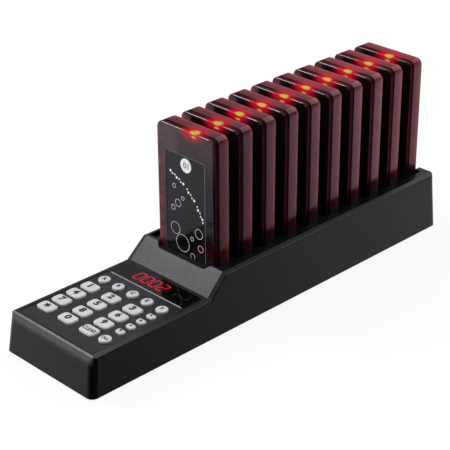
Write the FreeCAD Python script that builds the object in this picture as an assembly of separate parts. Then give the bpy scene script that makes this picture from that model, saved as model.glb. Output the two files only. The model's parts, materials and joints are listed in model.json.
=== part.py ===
# Guest pager system: a desk transmitter with a keypad, and the rack where its pagers stand and charge.
# Millimetres. +X is the operator's right, +Y runs from the keypad to the back, and +Z is up.
# While the pieces are built, y is measured from the front edge and z from the housing's lower edge.
# save() then moves each piece so that the origin lies on the table, under the middle of the base.

import FreeCAD, Part
import math
import os

from FreeCAD import Vector

# ---- what the operator and the guests touch ----
base_length = 349.868         # housing, front to back
pager_count = 10
pager_width = 55.2
pager_thickness = 14.4
pager_height = 106.8
pager_corner_radius = 5.0
main_key_width = 14.0
main_key_depth = 9.4
main_column_gap = 7.65
main_row_gap = 3.04
round_key_radius = 4.4
small_key_width = 7.1
small_key_depth = 4.9
small_key_count = 4
window_depth = 17.7
window_thickness = 1.5

# Key names by column, each from the front row to the rear row, and the round keys from the left.
main_keys = (("star", "7", "4", "1"), ("0", "8", "5", "2"), ("clear", "9", "6", "3"))
round_keys = ("a", "b", "c", "e", "f")

# ---- base housing ----
foot_stand = 1.0              # the rubber feet hold the housing this far off the table
deck_height = 29.3            # keypad deck above the housing's lower edge
tray_height = 43.3            # rim of the pager tray above the same edge
side_draft = 0.066            # how far each wall leans in, per millimetre of height
front_draft = 0.139
back_draft = 0.040
corner_radius = 5.0
wall = 2.5
rim_depth = 2.9               # thickness of the tray's top wall, which is the pocket's depth
bevel_width = 3.8             # bevel along the top edge of both sides
bevel_drop = 1.2
bevel_round = 1.2
front_round = 4.5
slope_run = 15.2              # length of the slope between the deck and the tray
land = 0.35                   # narrow flat between the bevel and the keypad panel or the pocket
ear_width = 5.5               # the pocket's rear corners are filled by ears
ear_length = 6.0
ear_taper = 10.0
notch_inset = 1.1             # the finger notches' top edge is this far inside the pager's side
notch_taper = 3.8
notch_round = 4.0

# ---- keypad ----
panel_sink = 0.3              # the keypad panel lies below the deck
panel_thickness = 1.2
panel_gap = 0.3
panel_margin = 2.4            # panel beyond the outermost keys, left and right
panel_radius = 2.0
ledge_thickness = 2.0         # housing under the panel's edge
front_land = 0.7              # flat between the rounded front edge and the panel's recess
panel_front_margin = 10.8     # panel in front of the first row of keys
panel_rear_margin = 6.4       # panel behind the round keys
round_row_gap = 4.25          # between the last main row and the row of round keys
round_row_inset = 1.65        # the round row ends this far inside the keypad's sides
side_column_gap = 4.2         # between the main block and the right-hand column
small_key_gap = 6.15          # between the corner round key and the small keys
key_rise = 1.4                # key top above the panel
main_key_round = 2.9           # corner radius of a main key
small_key_round = 1.9
key_hole_round = 2.2          # corner radius of the holes the main and small keys stand in
key_bevel = 0.6
key_clearance = 0.4
key_flange = 0.6              # flange that keeps a key under the panel
key_flange_thickness = 1.0
key_flange_gap = 0.25
key_travel = 1.2
key_travel_margin = 0.3
pill_radius = 1.5             # contact pill under each key
pill_length = 0.9
mat_thickness = 1.0
mat_hole_clearance = 0.5
mat_side_gap = 1.5
key_opening_gap = 0.6         # between a flange and the opening in the housing

# ---- display ----
window_bar = 0.9              # housing bar between the panel and the window
bar_chamfer = 0.55            # along the bar's front edge
window_gap = 0.15
window_rear_margin = 2.7      # deck behind the window, before the slope
window_seat = 1.6             # ledge that carries the window's edge
display_width = 30.2
display_offset = -4.9         # the digits stand left of the middle
display_side_gap = 0.25
display_gap = 0.15

# ---- boards and what is on them ----
board_thickness = 1.6
board_post_gap = 0.4          # between the main board's edge and the case posts
main_board_front_gap = 3.0
main_board_rear_gap = 1.4
board_post_radius = 2.6
board_post_inset = 3.2        # from the main board's side edge
board_screw_radius = 1.0
board_screw_length = 4.5
screw_head_height = 1.4
screw_head_radius = 2.2
connector_width = 14.0
connector_depth = 5.0
connector_height = 4.0
connector_inset = 3.0         # from a board's edge to its cable socket
ribbon_width = 11.0
ribbon_thickness = 0.8
module_size = (20.0, 16.0, 3.0)
module_side_gap = 6.2         # from the main board's left edge to the transmitter module
module_rear_gap = 38.0        # from the main board's rear edge to the module
buzzer_radius = 6.0
buzzer_height = 6.0
buzzer_side_distance = 15.2   # from the main board's right edge to the buzzer's middle
buzzer_front_distance = 33.0  # from the main board's front edge to the buzzer's middle
buzzer_hole_radius = 1.0
buzzer_hole_depth = 2.0
antenna_radius = 2.2
antenna_length = 34.0
antenna_front_distance = 17.0  # from the main board's front edge to the ferrite rod's middle

# ---- rack ----
slot_clearance = 0.4
slot_depth = 12.8             # how deep a pager stands in its slot
seat_gap = 0.25
rack_wall = 1.6
rack_plate_thickness = 1.8
rack_gap = 0.2                # between the rack and the slope's inner face
rack_side_gap = 0.3
rack_rear_space = 0.9
rack_corner_radius = 2.5
rack_post_radius = 3.2
rack_post_gap = 1.2           # between a slot's cup and the post beside it
rack_post_margin = 1.9        # rack plate beyond the posts
rack_post_inset = 14.0
charge_board_inset = 4.9      # from the cups' outer side to the charging board's edge
charge_post_inset = 6.0
contact_x = 10.0              # charging contacts, left and right of each slot's middle
contact_radius = 0.9
contact_hole_clearance = 0.3
contact_gap = 0.15            # between a spring contact and the pager's pad

# ---- pager ----
cover_thickness = 3.8
cover_skin = 2.0              # the front cover's own wall
cover_edge_round = 1.0
groove_width = 1.2
groove_depth = 0.9
body_edge_round = 1.0
pager_wall = 2.0
label_side_margin = 8.4
label_top_margin = 18.6
label_bottom_margin = 5.4
label_recess = 0.3
label_radius = 1.5
pager_board_side_margin = 4.9
pager_board_margin = 8.0
pager_board_thickness = 1.0
pager_board_setback = 0.2     # behind the groove
pager_post_side_margin = 8.9
pager_post_inset = 14.0
pager_post_radius = 2.0
pad_size = 3.0
pad_clearance = 0.2
pad_overlap = 1.0             # the pad reaches this far up the back of the board
battery_width = 30.0
battery_height = 40.0
battery_bottom = 30.0         # battery's lower edge above the pager's lower edge
battery_gap = 2.2             # room for the battery to swell
motor_length = 12.0
motor_gap = 0.1
motor_offset = 8.0            # right of the middle
motor_distance = 5.0          # above the battery
led_width = 3.2
led_depth = 1.1
led_height = 2.6
led_offset = 4.0              # right of the middle
led_drop = 4.0                # below the board's top edge

# ---- bottom cover, feet, screws and power inlet ----
cover_plate = 3.0
cover_gap = 0.3
case_screw_radius = 1.25
case_screw_length = 9.0
case_screw_head_radius = 2.75
case_screw_head_height = 1.7
counterbore_depth = 1.9
counterbore_clearance = 0.4
screw_hole_clearance = 0.3
front_post_radius = 3.4
front_post_gap = 0.35         # between a front post's top and the side wall
post_web = 1.6                # web that ties each front post to the side wall
post_front_gap = 0.3          # between the first posts and the key opening
pilot_spare = 2.0             # pilot hole past the screw's tip
tongue_spots = (-27.0, 27.0)  # tongues that hold the cover's rear edge in the back wall
tongue_width = 12.0
tongue_thickness = 1.4
tongue_height = 0.9
tongue_reach = 1.2            # how far a tongue enters the back wall
tongue_gap = 0.2
foot_radius = 6.0
foot_side_inset = 14.0
foot_screw_distance = 13.0    # along the base, from a foot to the nearest screw
foot_seat = 1.0               # how deep a foot sits in the cover
foot_gap = 0.2
jack_width = 9.0
jack_height = 11.0
jack_length = 14.0
jack_offset = -12.0
jack_collar_radius = 4.0
jack_collar_gap = 0.2
jack_bore_radius = 3.2
jack_pin_radius = 1.0
jack_bore_depth = 9.5
jack_pin_inset = 1.0          # the pin ends this far inside the mouth
jack_wall_gap = 0.3           # between the inlet's block and the back wall
jack_inset = 0.4              # the mouth lies this far inside the back wall's face

# ---- places that follow from the sizes above ----
far = 20.0                    # how far a cutting shape runs past what it cuts

main_columns = len(main_keys)
main_rows = len(main_keys[0])
main_column_pitch = main_key_width + main_column_gap
main_row_pitch = main_key_depth + main_row_gap

front_angle = math.pi / 2 + math.atan(front_draft)
front_round_reach = front_round / math.tan(front_angle / 2)
recess_front = front_draft * deck_height + front_round_reach + front_land
panel_front = recess_front + panel_gap
key_block_front = panel_front + panel_front_margin
row_1_y = key_block_front + main_key_depth / 2
last_row_y = row_1_y + (main_rows - 1) * main_row_pitch
main_block_width = (main_columns - 1) * main_column_pitch + main_key_width
keypad_half = (main_block_width + side_column_gap + 2 * round_key_radius) / 2
column_1_x = -keypad_half + main_key_width / 2
side_column_x = keypad_half - round_key_radius
round_row_y = last_row_y + main_key_depth / 2 + round_row_gap + round_key_radius
round_key_pitch = 2 * (keypad_half - round_row_inset - round_key_radius) / (len(round_keys) - 1)
small_block_front = row_1_y + round_key_radius + small_key_gap
small_key_pitch = (round_row_y - round_key_radius - small_block_front) / small_key_count

panel_half = keypad_half + panel_margin
panel_rear = round_row_y + round_key_radius + panel_rear_margin
recess_half = panel_half + panel_gap
recess_rear = panel_rear + panel_gap
panel_top = deck_height - panel_sink
panel_under = panel_top - panel_thickness
deck_under = panel_under - ledge_thickness
key_opening_half = keypad_half + key_flange + key_opening_gap
key_opening_front = key_block_front - key_flange - key_opening_gap
key_opening_rear = round_row_y + round_key_radius + key_flange + key_opening_gap

window_front = recess_rear + window_bar
window_rear = window_front + window_depth
sight_front = window_front + window_seat
sight_rear = window_rear - window_seat
slope_start = window_rear + window_rear_margin
slope_end = slope_start + slope_run
slope_angle = math.atan2(tray_height - deck_height, slope_run)

tray_under = tray_height - rim_depth
slope_inner_rise = tray_under - deck_height + wall / math.cos(slope_angle)
slope_inner_end = slope_start + slope_inner_rise / math.tan(slope_angle)
rack_front = slope_inner_end + rack_gap
slot_1_front = rack_front + rack_wall
slot_width = pager_width + 2 * slot_clearance
slot_length = pager_thickness + 2 * slot_clearance
rack_rear = base_length - back_draft * tray_under - wall - rack_rear_space
row_end = rack_rear - rack_wall
pager_pitch = (row_end - slot_length - slot_1_front) / (pager_count - 1)

cup_half = slot_width / 2 + rack_wall
rack_post_x = cup_half + rack_post_gap + rack_post_radius
pager_bottom = tray_under - slot_depth
slot_floor = pager_bottom - seat_gap
rack_bottom = slot_floor - rack_wall
rack_plate_under = tray_under - rack_plate_thickness
charge_board_under = rack_bottom - board_thickness
charge_board_half_width = cup_half - charge_board_inset
contact_y = cover_thickness + groove_width + pager_board_setback + pager_board_thickness + pad_size / 2

# The base is as wide as the keypad or the rack needs, whichever is wider.
half_for_keypad = recess_half + land + bevel_width + side_draft * deck_height
rack_needs = rack_post_x + rack_post_radius + rack_post_margin
half_for_rack = rack_needs + rack_side_gap + wall + side_draft * tray_under
base_width = 2 * max(half_for_keypad, half_for_rack)
rack_half = base_width / 2 - side_draft * tray_under - wall - rack_side_gap
pocket_half = base_width / 2 - side_draft * tray_height - bevel_width - land
front_post_x = base_width / 2 - side_draft * deck_under - wall - front_post_gap - front_post_radius
foot_x = base_width / 2 - foot_side_inset

flange_top = panel_under - key_flange_gap
flange_under = flange_top - key_flange_thickness
mat_top = flange_under - key_travel - key_travel_margin
main_board_top = mat_top - mat_thickness
main_board_under = main_board_top - board_thickness
main_board_half_width = front_post_x - front_post_radius - board_post_gap
main_board_front = front_draft * main_board_top + wall + main_board_front_gap
main_board_rear = slope_start - main_board_rear_gap
connector_rear = main_board_rear - connector_inset


# ---- helpers ----
def half_width(z, inset=0.0):
    """Half the housing's width at height z, moved in by inset."""
    return base_width / 2 - side_draft * z - inset


def box(x0, x1, y0, y1, z0, z1):
    return Part.makeBox(x1 - x0, y1 - y0, z1 - z0, Vector(x0, y0, z0))


def upright(radius, x, y, z0, z1):
    """Cylinder that stands on z0."""
    return Part.makeCylinder(radius, z1 - z0, Vector(x, y, z0))


def polygon_face(points):
    return Part.Face(Part.makePolygon(points + points[:1]))


def side_prism(profile, x0, x1):
    """Solid whose outline in the YZ plane is profile, from x0 to x1."""
    face = polygon_face([Vector(x0, y, z) for y, z in profile])
    return face.extrude(Vector(x1 - x0, 0, 0))


def fuse_all(shapes):
    return shapes[0].fuse(shapes[1:]).removeSplitter() if len(shapes) > 1 else shapes[0]


def edges_along(shape, axis):
    """Straight edges of shape that run mostly along axis."""
    found = []
    for edge in shape.Edges:
        if len(edge.Vertexes) == 2:
            run = edge.Vertexes[1].Point - edge.Vertexes[0].Point
            if edge.Curve.TypeId == "Part::GeomLine" and abs(run.dot(axis)) > 0.9 * run.Length:
                found.append(edge)
    return found


def edges_on(shape, axis, value):
    """Edges of shape that lie whole in the plane where the coordinate along axis has this value."""
    def lies_in(edge):
        box_ = edge.BoundBox
        low = {"x": box_.XMin, "y": box_.YMin, "z": box_.ZMin}[axis]
        high = {"x": box_.XMax, "y": box_.YMax, "z": box_.ZMax}[axis]
        return abs(low - value) < 1e-4 and abs(high - value) < 1e-4
    return [edge for edge in shape.Edges if lies_in(edge)]


def rounded_plate(width, height, radius, y0, y1, z0=0.0):
    """Plate that stands on z0 with rounded corners seen from the front, from y0 to y1."""
    plate = box(-width / 2, width / 2, y0, y1, z0, z0 + height)
    return plate.makeFillet(radius, edges_along(plate, Vector(0, 1, 0)))


def rounded_slab(x0, x1, y0, y1, z0, z1, radius):
    """Slab with rounded corners seen from above."""
    slab = box(x0, x1, y0, y1, z0, z1)
    return slab.makeFillet(radius, edges_along(slab, Vector(0, 0, 1)))


def tangent_arc(corner, towards_a, towards_b, radius):
    """Start, middle and end of the arc that rounds a corner between two directions in a plane."""
    half_angle = towards_a.getAngle(towards_b) / 2
    reach = radius / math.tan(half_angle)
    a = Vector(towards_a).normalize()
    b = Vector(towards_b).normalize()
    to_centre = (a + b).normalize()
    centre = corner + to_centre * (radius / math.sin(half_angle))
    return corner + a * reach, centre - to_centre * radius, corner + b * reach


def save(name, shape):
    placed = shape.copy()
    placed.translate(Vector(0, -base_length / 2, foot_stand))
    placed.exportStep("parts/" + name + ".step")


# ---- base housing ----
def drafted_block(inset, z0, z1):
    """The housing's four leaning walls as a solid block, moved in by inset, from z0 to z1."""
    def outline(z):
        x = half_width(z, inset)
        front = front_draft * z + inset
        back = base_length - back_draft * z - inset
        return [Vector(-x, front, z), Vector(x, front, z), Vector(x, back, z), Vector(-x, back, z)]
    low, high = outline(z0), outline(z1)
    faces = [polygon_face(low[::-1]), polygon_face(high)]
    for i in range(4):
        j = (i + 1) % 4
        faces.append(polygon_face([low[i], low[j], high[j], high[i]]))
    block = Part.makeSolid(Part.makeShell(faces))
    uprights = [edge for edge in block.Edges if edge.BoundBox.ZLength > 0.9 * (z1 - z0)]
    return block.makeFillet(corner_radius - inset, uprights)


def bevel_cutter(side, top, y0, run):
    """What the bevel takes off one upper edge: a section at y0, drawn out along run."""
    low = top - bevel_drop
    corner = Vector(half_width(low), y0, low)
    inner = Vector(half_width(top) - bevel_width, y0, top)
    down_wall = Vector(side_draft, 0, -1)
    up_bevel = inner - corner
    start, middle, end = tangent_arc(corner, down_wall, up_bevel, bevel_round)
    above = inner + up_bevel
    outside_top = Vector(corner.x + far, y0, above.z)
    outside_low = Vector(corner.x + far, y0, start.z)
    edges = [Part.Arc(start, middle, end).toShape()]
    points = [end, above, outside_top, outside_low, start]
    for a, b in zip(points, points[1:]):
        edges.append(Part.LineSegment(a, b).toShape())
    section = Part.Face(Part.Wire(edges))
    cutter = section.extrude(run)
    return cutter if side > 0 else cutter.mirror(Vector(0, 0, 0), Vector(1, 0, 0))


def bevel_cutters():
    shift = half_width(tray_height - bevel_drop) - half_width(deck_height - bevel_drop)
    slope = Vector(shift, slope_run, tray_height - deck_height)
    cutters = []
    for side in (-1, 1):
        cutters.append(bevel_cutter(side, deck_height, -far, Vector(0, slope_start + far, 0)))
        cutters.append(bevel_cutter(side, deck_height, slope_start, slope))
        cutters.append(bevel_cutter(side, tray_height, slope_end, Vector(0, base_length, 0)))
    return cutters


def front_edge_cutter():
    """What the rounding takes off the deck's front edge."""
    x = base_width
    corner = Vector(-x, front_draft * deck_height, deck_height)
    start, middle, end = tangent_arc(corner, Vector(0, -front_draft, -1), Vector(0, 1, 0), front_round)
    outside = [end + Vector(0, 0, far), corner + Vector(0, -far, far), start + Vector(0, -far, 0)]
    edges = [Part.Arc(start, middle, end).toShape()]
    points = [end] + outside + [start]
    for a, b in zip(points, points[1:]):
        edges.append(Part.LineSegment(a, b).toShape())
    return Part.Face(Part.Wire(edges)).extrude(Vector(2 * x, 0, 0))


def notch_cutter(y0, y1):
    """Finger notch seen from the front: a trough with rounded lower corners."""
    rise = tray_height - tray_under
    half_top = pager_width / 2 - notch_inset
    half_low = half_top - notch_taper
    half_high = half_top + notch_taper / rise * far
    points = [Vector(-half_high, y0, tray_height + far), Vector(-half_low, y0, tray_under)]
    points += [Vector(half_low, y0, tray_under), Vector(half_high, y0, tray_height + far)]
    trough = polygon_face(points).extrude(Vector(0, y1 - y0, 0))
    lower = [edge for edge in edges_along(trough, Vector(0, 1, 0))
             if edge.BoundBox.ZMax < tray_under + 0.01]
    return trough.makeFillet(notch_round, lower)


def pocket_cutter():
    """Sunken top of the tray, with its two rear corners filled by ears."""
    ear_y = row_end - ear_length
    taper_y = ear_y - ear_taper
    inner = pocket_half - ear_width
    right = [(pocket_half, slot_1_front), (pocket_half, taper_y), (inner, ear_y), (inner, row_end)]
    outline = right + [(-x, y) for x, y in reversed(right)]
    face = polygon_face([Vector(x, y, tray_under) for x, y in outline])
    return face.extrude(Vector(0, 0, rim_depth + far))


def cavity():
    block = drafted_block(wall, -far, tray_under)
    slope_inner_start = slope_inner_end - (tray_under - deck_under) / math.tan(slope_angle)
    over = [(-far, deck_under), (slope_inner_start, deck_under), (slope_inner_end, tray_under)]
    over += [(slope_inner_end, tray_under + far), (-far, tray_under + far)]
    return block.cut(side_prism(over, -base_width, base_width))


def front_post_rows():
    """One row in front of the key opening, and one between it and the window."""
    return key_opening_front - post_front_gap - front_post_radius, (key_opening_rear + sight_front) / 2


def front_post_spots():
    return [(side * front_post_x, y) for side in (-1, 1) for y in front_post_rows()]


def board_post_spots():
    x = main_board_half_width - board_post_inset
    return [(side * x, y) for side in (-1, 1) for y in front_post_rows()]


def rack_post_spots():
    rows = (rack_front + rack_post_inset, rack_rear - rack_post_inset)
    return [(side * rack_post_x, y) for side in (-1, 1) for y in rows]


def front_post(x, y):
    """Screw post with a web to the side wall."""
    side = 1 if x > 0 else -1
    inside = [(x, cover_plate), (x, deck_under)]
    in_wall = [(side * half_width(z, wall / 2), z) for z in (deck_under, cover_plate)]
    web = polygon_face([Vector(px, y - post_web / 2, pz) for px, pz in inside + in_wall])
    post = upright(front_post_radius, x, y, cover_plate, deck_under)
    return post.fuse(web.extrude(Vector(0, post_web, 0)))


def tongues(gap):
    """The cover's rear tongues, or with a gap the slots they enter."""
    low = tongue_height - gap
    high = tongue_height + tongue_thickness + gap
    inner_wall = base_length - back_draft * cover_plate - wall
    front = inner_wall - cover_gap - wall
    rear = inner_wall + tongue_reach + gap
    half = tongue_width / 2 + gap
    return [box(x - half, x + half, front, rear, low, high) for x in tongue_spots]


def jack_centre():
    """Middle of the power inlet on the back wall: x and z."""
    return jack_offset, charge_board_under - jack_height / 2


def top_housing():
    outer = drafted_block(0.0, 0.0, tray_height)
    above = [(-far, deck_height), (slope_start, deck_height), (slope_end, tray_height)]
    above += [(slope_end, tray_height + far), (-far, tray_height + far)]
    cutters = bevel_cutters() + [front_edge_cutter(), side_prism(above, -base_width, base_width)]
    shell = outer.cut(cutters).cut(cavity())
    above_deck = deck_height + far
    recess = rounded_slab(-recess_half, recess_half, recess_front, recess_rear, panel_under, above_deck,
                          panel_radius + panel_gap)
    key_opening = rounded_slab(-key_opening_half, key_opening_half, key_opening_front, key_opening_rear,
                               deck_under - 1, deck_height, panel_radius)
    bar_edge = side_prism([(recess_rear - bar_chamfer, deck_height - 2 * bar_chamfer),
                           (recess_rear + 2 * bar_chamfer, deck_height + bar_chamfer),
                           (recess_rear - bar_chamfer, deck_height + bar_chamfer)],
                          -panel_half + panel_radius, panel_half - panel_radius)
    window_half = recess_half - window_gap
    window_seat_z = deck_height - window_thickness
    window_recess = box(-window_half, window_half, window_front, window_rear, window_seat_z, above_deck)
    sight = box(-window_half + window_seat, window_half - window_seat, sight_front, sight_rear,
                deck_under - 1, deck_height)
    x, z = jack_centre()
    inlet = Part.makeCylinder(jack_collar_radius + jack_collar_gap, 2 * far,
                              Vector(x, base_length - far, z), Vector(0, 1, 0))
    notches = [notch_cutter(slope_start, slot_1_front), notch_cutter(row_end, base_length + far)]
    shell = shell.cut([recess, key_opening, bar_edge, window_recess, sight, pocket_cutter(), inlet] + notches)
    shell = shell.cut(tongues(tongue_gap))
    posts = [front_post(x, y) for x, y in front_post_spots()]
    for x, y in board_post_spots():
        posts.append(upright(board_post_radius, x, y, main_board_top, deck_under))
    pilots = []
    for x, y in front_post_spots():
        pilots.append(upright(case_screw_radius, x, y, cover_plate - 1, pilot_top()))
    for x, y in board_post_spots():
        pilots.append(upright(board_screw_radius, x, y, main_board_top - 1, deck_under))
    return shell.fuse(posts).cut(pilots)


def pilot_top():
    return counterbore_depth + case_screw_length + pilot_spare


def case_screw_spots():
    return front_post_spots() + rack_post_spots()


def foot_spots():
    rows = (front_post_rows()[0] + foot_screw_distance, rack_rear - rack_post_inset - foot_screw_distance)
    return [(side * foot_x, y) for side in (-1, 1) for y in rows]


def bottom_cover():
    outline = drafted_block(wall + cover_gap, 0.0, cover_plate).fuse(tongues(0.0)).removeSplitter()
    cuts = []
    for x, y in case_screw_spots():
        cuts.append(upright(case_screw_head_radius + counterbore_clearance, x, y, -1, counterbore_depth))
        cuts.append(upright(case_screw_radius + screw_hole_clearance, x, y, -1, cover_plate + 1))
    for x, y in foot_spots():
        cuts.append(upright(foot_radius + foot_gap, x, y, -1, foot_seat))
    return outline.cut(cuts)


def rubber_feet():
    feet = []
    for x, y in foot_spots():
        foot = upright(foot_radius, x, y, -foot_stand, foot_seat)
        feet.append(foot.makeChamfer(0.5, edges_on(foot, "z", -foot_stand)))
    return Part.makeCompound(feet)


def screw(x, y, head_under, head_top, head_radius, shank_radius, length):
    """Screw that is driven upwards: its head hangs below head_top."""
    head = upright(head_radius, x, y, head_under, head_top)
    shank = upright(shank_radius, x, y, head_top, head_top + length)
    socket = upright(head_radius * 0.45, x, y, head_under - 1, head_under + 0.6 * (head_top - head_under))
    return head.fuse(shank).removeSplitter().cut(socket)


def case_screws():
    low = counterbore_depth - case_screw_head_height
    return Part.makeCompound([
        screw(x, y, low, counterbore_depth, case_screw_head_radius, case_screw_radius, case_screw_length)
        for x, y in case_screw_spots()])


# ---- keypad ----
def key_places():
    """Every key as name, shape, x and y."""
    places = []
    for column in range(main_columns):
        for row in range(main_rows):
            x = column_1_x + column * main_column_pitch
            y = row_1_y + row * main_row_pitch
            places.append(("key_" + main_keys[column][row], "main", x, y))
    for i, name in enumerate(round_keys):
        x = (i - (len(round_keys) - 1) / 2) * round_key_pitch
        places.append(("key_" + name, "round", x, round_row_y))
    for i in range(small_key_count):
        y = small_block_front + small_key_depth / 2 + i * small_key_pitch
        places.append(("key_small_%d" % (i + 1), "small", side_column_x, y))
    places.append(("key_call", "round", side_column_x, row_1_y))
    return places


def key_outline(kind, x, y, grow, corner, z0, z1):
    """Solid with a key's outline, grown all round, between two heights."""
    if kind == "round":
        return upright(round_key_radius + grow, x, y, z0, z1)
    sizes = {"main": (main_key_width, main_key_depth), "small": (small_key_width, small_key_depth)}
    width, depth = sizes[kind]
    half_x, half_y = width / 2 + grow, depth / 2 + grow
    return rounded_slab(x - half_x, x + half_x, y - half_y, y + half_y, z0, z1, corner)


def key(kind, x, y):
    top = panel_top + key_rise
    corner = small_key_round if kind == "small" else main_key_round
    stem = key_outline(kind, x, y, 0.0, corner, flange_under, top)
    rim = edges_on(stem, "z", top)
    stem = stem.makeFillet(key_bevel, rim) if kind == "round" else stem.makeChamfer(key_bevel, rim)
    flange = key_outline(kind, x, y, key_flange, corner + key_flange, flange_under, flange_top)
    pill = upright(pill_radius, x, y, flange_under - pill_length, flange_under)
    return stem.fuse([flange, pill]).removeSplitter()


def keypad_panel():
    panel = rounded_slab(-panel_half, panel_half, panel_front, panel_rear, panel_under, panel_top,
                         panel_radius)
    return panel.cut([key_outline(kind, x, y, key_clearance, key_hole_round, panel_under - 1, panel_top + 1)
                      for name, kind, x, y in key_places()])


def keypad_mat():
    half = key_opening_half - mat_side_gap
    mat = box(-half, half, key_opening_front, key_opening_rear, main_board_top, mat_top)
    return mat.cut([upright(pill_radius + mat_hole_clearance, x, y, main_board_top - 1, mat_top + 1)
                    for name, kind, x, y in key_places()])


# ---- display ----
def display_window():
    half = recess_half - 2 * window_gap
    return box(-half, half, window_front + window_gap, window_rear - window_gap,
               deck_height - window_thickness, deck_height)


def display_module():
    top = deck_height - window_thickness - display_gap
    return box(display_offset - display_width / 2, display_offset + display_width / 2,
               sight_front + display_side_gap, sight_rear - display_side_gap, main_board_top, top)


# ---- boards ----
def main_board():
    board = box(-main_board_half_width, main_board_half_width, main_board_front, main_board_rear,
                main_board_under, main_board_top)
    board = board.cut([upright(board_screw_radius + screw_hole_clearance, x, y, main_board_under - 1,
                               main_board_top + 1) for x, y in board_post_spots()])
    front = connector_rear - connector_depth
    socket = box(-connector_width / 2, connector_width / 2, front, connector_rear,
                 main_board_under - connector_height, main_board_under)
    return Part.makeCompound([board, socket])


def charge_post_spots():
    spots = []
    for i in (1, (pager_count - 1) // 2, pager_count - 2):
        x = charge_board_half_width - charge_post_inset
        y = slot_1_front + i * pager_pitch - (pager_pitch - slot_length) / 2
        spots += [(-x, y), (x, y)]
    return spots


def charge_connector_front():
    return rack_front + connector_inset


def charging_board():
    board = box(-charge_board_half_width, charge_board_half_width, rack_front, rack_rear,
                charge_board_under, rack_bottom)
    board = board.cut([upright(board_screw_radius + screw_hole_clearance, x, y, charge_board_under - 1,
                               rack_bottom + 1) for x, y in charge_post_spots()])
    front = charge_connector_front()
    socket = box(-connector_width / 2, connector_width / 2, front, front + connector_depth,
                 charge_board_under - connector_height, charge_board_under)
    return Part.makeCompound([board, socket])


def board_screw(x, y, board_under, length):
    """Screw up through a board, with its head against the board's underside."""
    return screw(x, y, board_under - screw_head_height, board_under, screw_head_radius, board_screw_radius,
                 length)


def board_screws():
    screws = []
    for x, y in board_post_spots():
        screws.append(board_screw(x, y, main_board_under, deck_under - main_board_under))
    for x, y in charge_post_spots():
        screws.append(board_screw(x, y, charge_board_under, board_screw_length))
    return Part.makeCompound(screws)


def ribbon_cable():
    """Flat cable from the main board's socket to the charging board's."""
    z0 = main_board_under - connector_height / 2
    z1 = charge_board_under - connector_height / 2
    y0, y1 = connector_rear, charge_connector_front()
    bend = (y1 - y0) / 4
    line = [(y0, z0), (y0 + bend, z0), (y1 - bend, z1), (y1, z1)]
    half = ribbon_thickness / 2
    outline = [(y, z + half) for y, z in line] + [(y, z - half) for y, z in reversed(line)]
    return side_prism(outline, -ribbon_width / 2, ribbon_width / 2)


def transmitter_module():
    width, depth, height = module_size
    x = -main_board_half_width + module_side_gap + width / 2
    y = main_board_rear - module_rear_gap - depth / 2
    return box(x - width / 2, x + width / 2, y - depth / 2, y + depth / 2,
               main_board_under - height, main_board_under)


def buzzer():
    x = main_board_half_width - buzzer_side_distance
    y = main_board_front + buzzer_front_distance
    body = upright(buzzer_radius, x, y, main_board_under - buzzer_height, main_board_under)
    mouth = main_board_under - buzzer_height
    return body.cut(upright(buzzer_hole_radius, x, y, mouth - 1, mouth + buzzer_hole_depth))


def antenna():
    y = main_board_front + antenna_front_distance
    start = Vector(-antenna_length / 2, y, main_board_under - antenna_radius)
    return Part.makeCylinder(antenna_radius, antenna_length, start, Vector(1, 0, 0))


def dc_jack():
    """Barrel inlet with its centre pin, under the charging board at the back."""
    x, z = jack_centre()
    inner_wall = base_length - back_draft * z - wall
    body_rear = inner_wall - jack_wall_gap
    body = box(x - jack_width / 2, x + jack_width / 2, body_rear - jack_length, body_rear,
               charge_board_under - jack_height, charge_board_under)
    mouth = base_length - back_draft * z - jack_inset
    along = Vector(0, 1, 0)
    collar = Part.makeCylinder(jack_collar_radius, mouth - body_rear, Vector(x, body_rear, z), along)
    floor = mouth - jack_bore_depth
    bore = Part.makeCylinder(jack_bore_radius, jack_bore_depth + 1, Vector(x, floor, z), along)
    pin = Part.makeCylinder(jack_pin_radius, jack_bore_depth - jack_pin_inset, Vector(x, floor, z), along)
    return Part.makeCompound([body.fuse(collar).cut(bore).removeSplitter(), pin])


# ---- rack ----
def slot_front(i):
    return slot_1_front + i * pager_pitch


def pager_rack():
    plate = rounded_slab(-rack_half, rack_half, rack_front, rack_rear, rack_plate_under, tray_under,
                         rack_corner_radius)
    parts = [plate]
    for i in range(pager_count):
        front = slot_front(i) - rack_wall
        rear = slot_front(i) + slot_length + rack_wall
        parts.append(box(-cup_half, cup_half, front, rear, rack_bottom, tray_under))
    for x, y in charge_post_spots():
        parts.append(upright(board_post_radius, x, y, rack_bottom, tray_under - 0.5))
    for x, y in rack_post_spots():
        parts.append(upright(rack_post_radius, x, y, cover_plate, tray_under - 0.5))
    rack = fuse_all(parts)
    cuts = []
    for i in range(pager_count):
        y = slot_front(i)
        cuts.append(box(-slot_width / 2, slot_width / 2, y, y + slot_length, slot_floor, tray_under + 1))
        for side in (-1, 1):
            cuts.append(upright(contact_radius + contact_hole_clearance, side * contact_x,
                                y + slot_clearance + contact_y, rack_bottom - 1, slot_floor + 1))
    for x, y in charge_post_spots():
        cuts.append(upright(board_screw_radius, x, y, rack_bottom - 1, rack_bottom + board_screw_length))
    for x, y in rack_post_spots():
        cuts.append(upright(case_screw_radius, x, y, cover_plate - 1, pilot_top()))
    return rack.cut(cuts)


def charging_contacts():
    pins = []
    for i in range(pager_count):
        y = slot_front(i) + slot_clearance + contact_y
        for x in (-contact_x, contact_x):
            pins.append(upright(contact_radius, x, y, rack_bottom, pager_bottom - contact_gap))
    return Part.makeCompound(pins)


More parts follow.
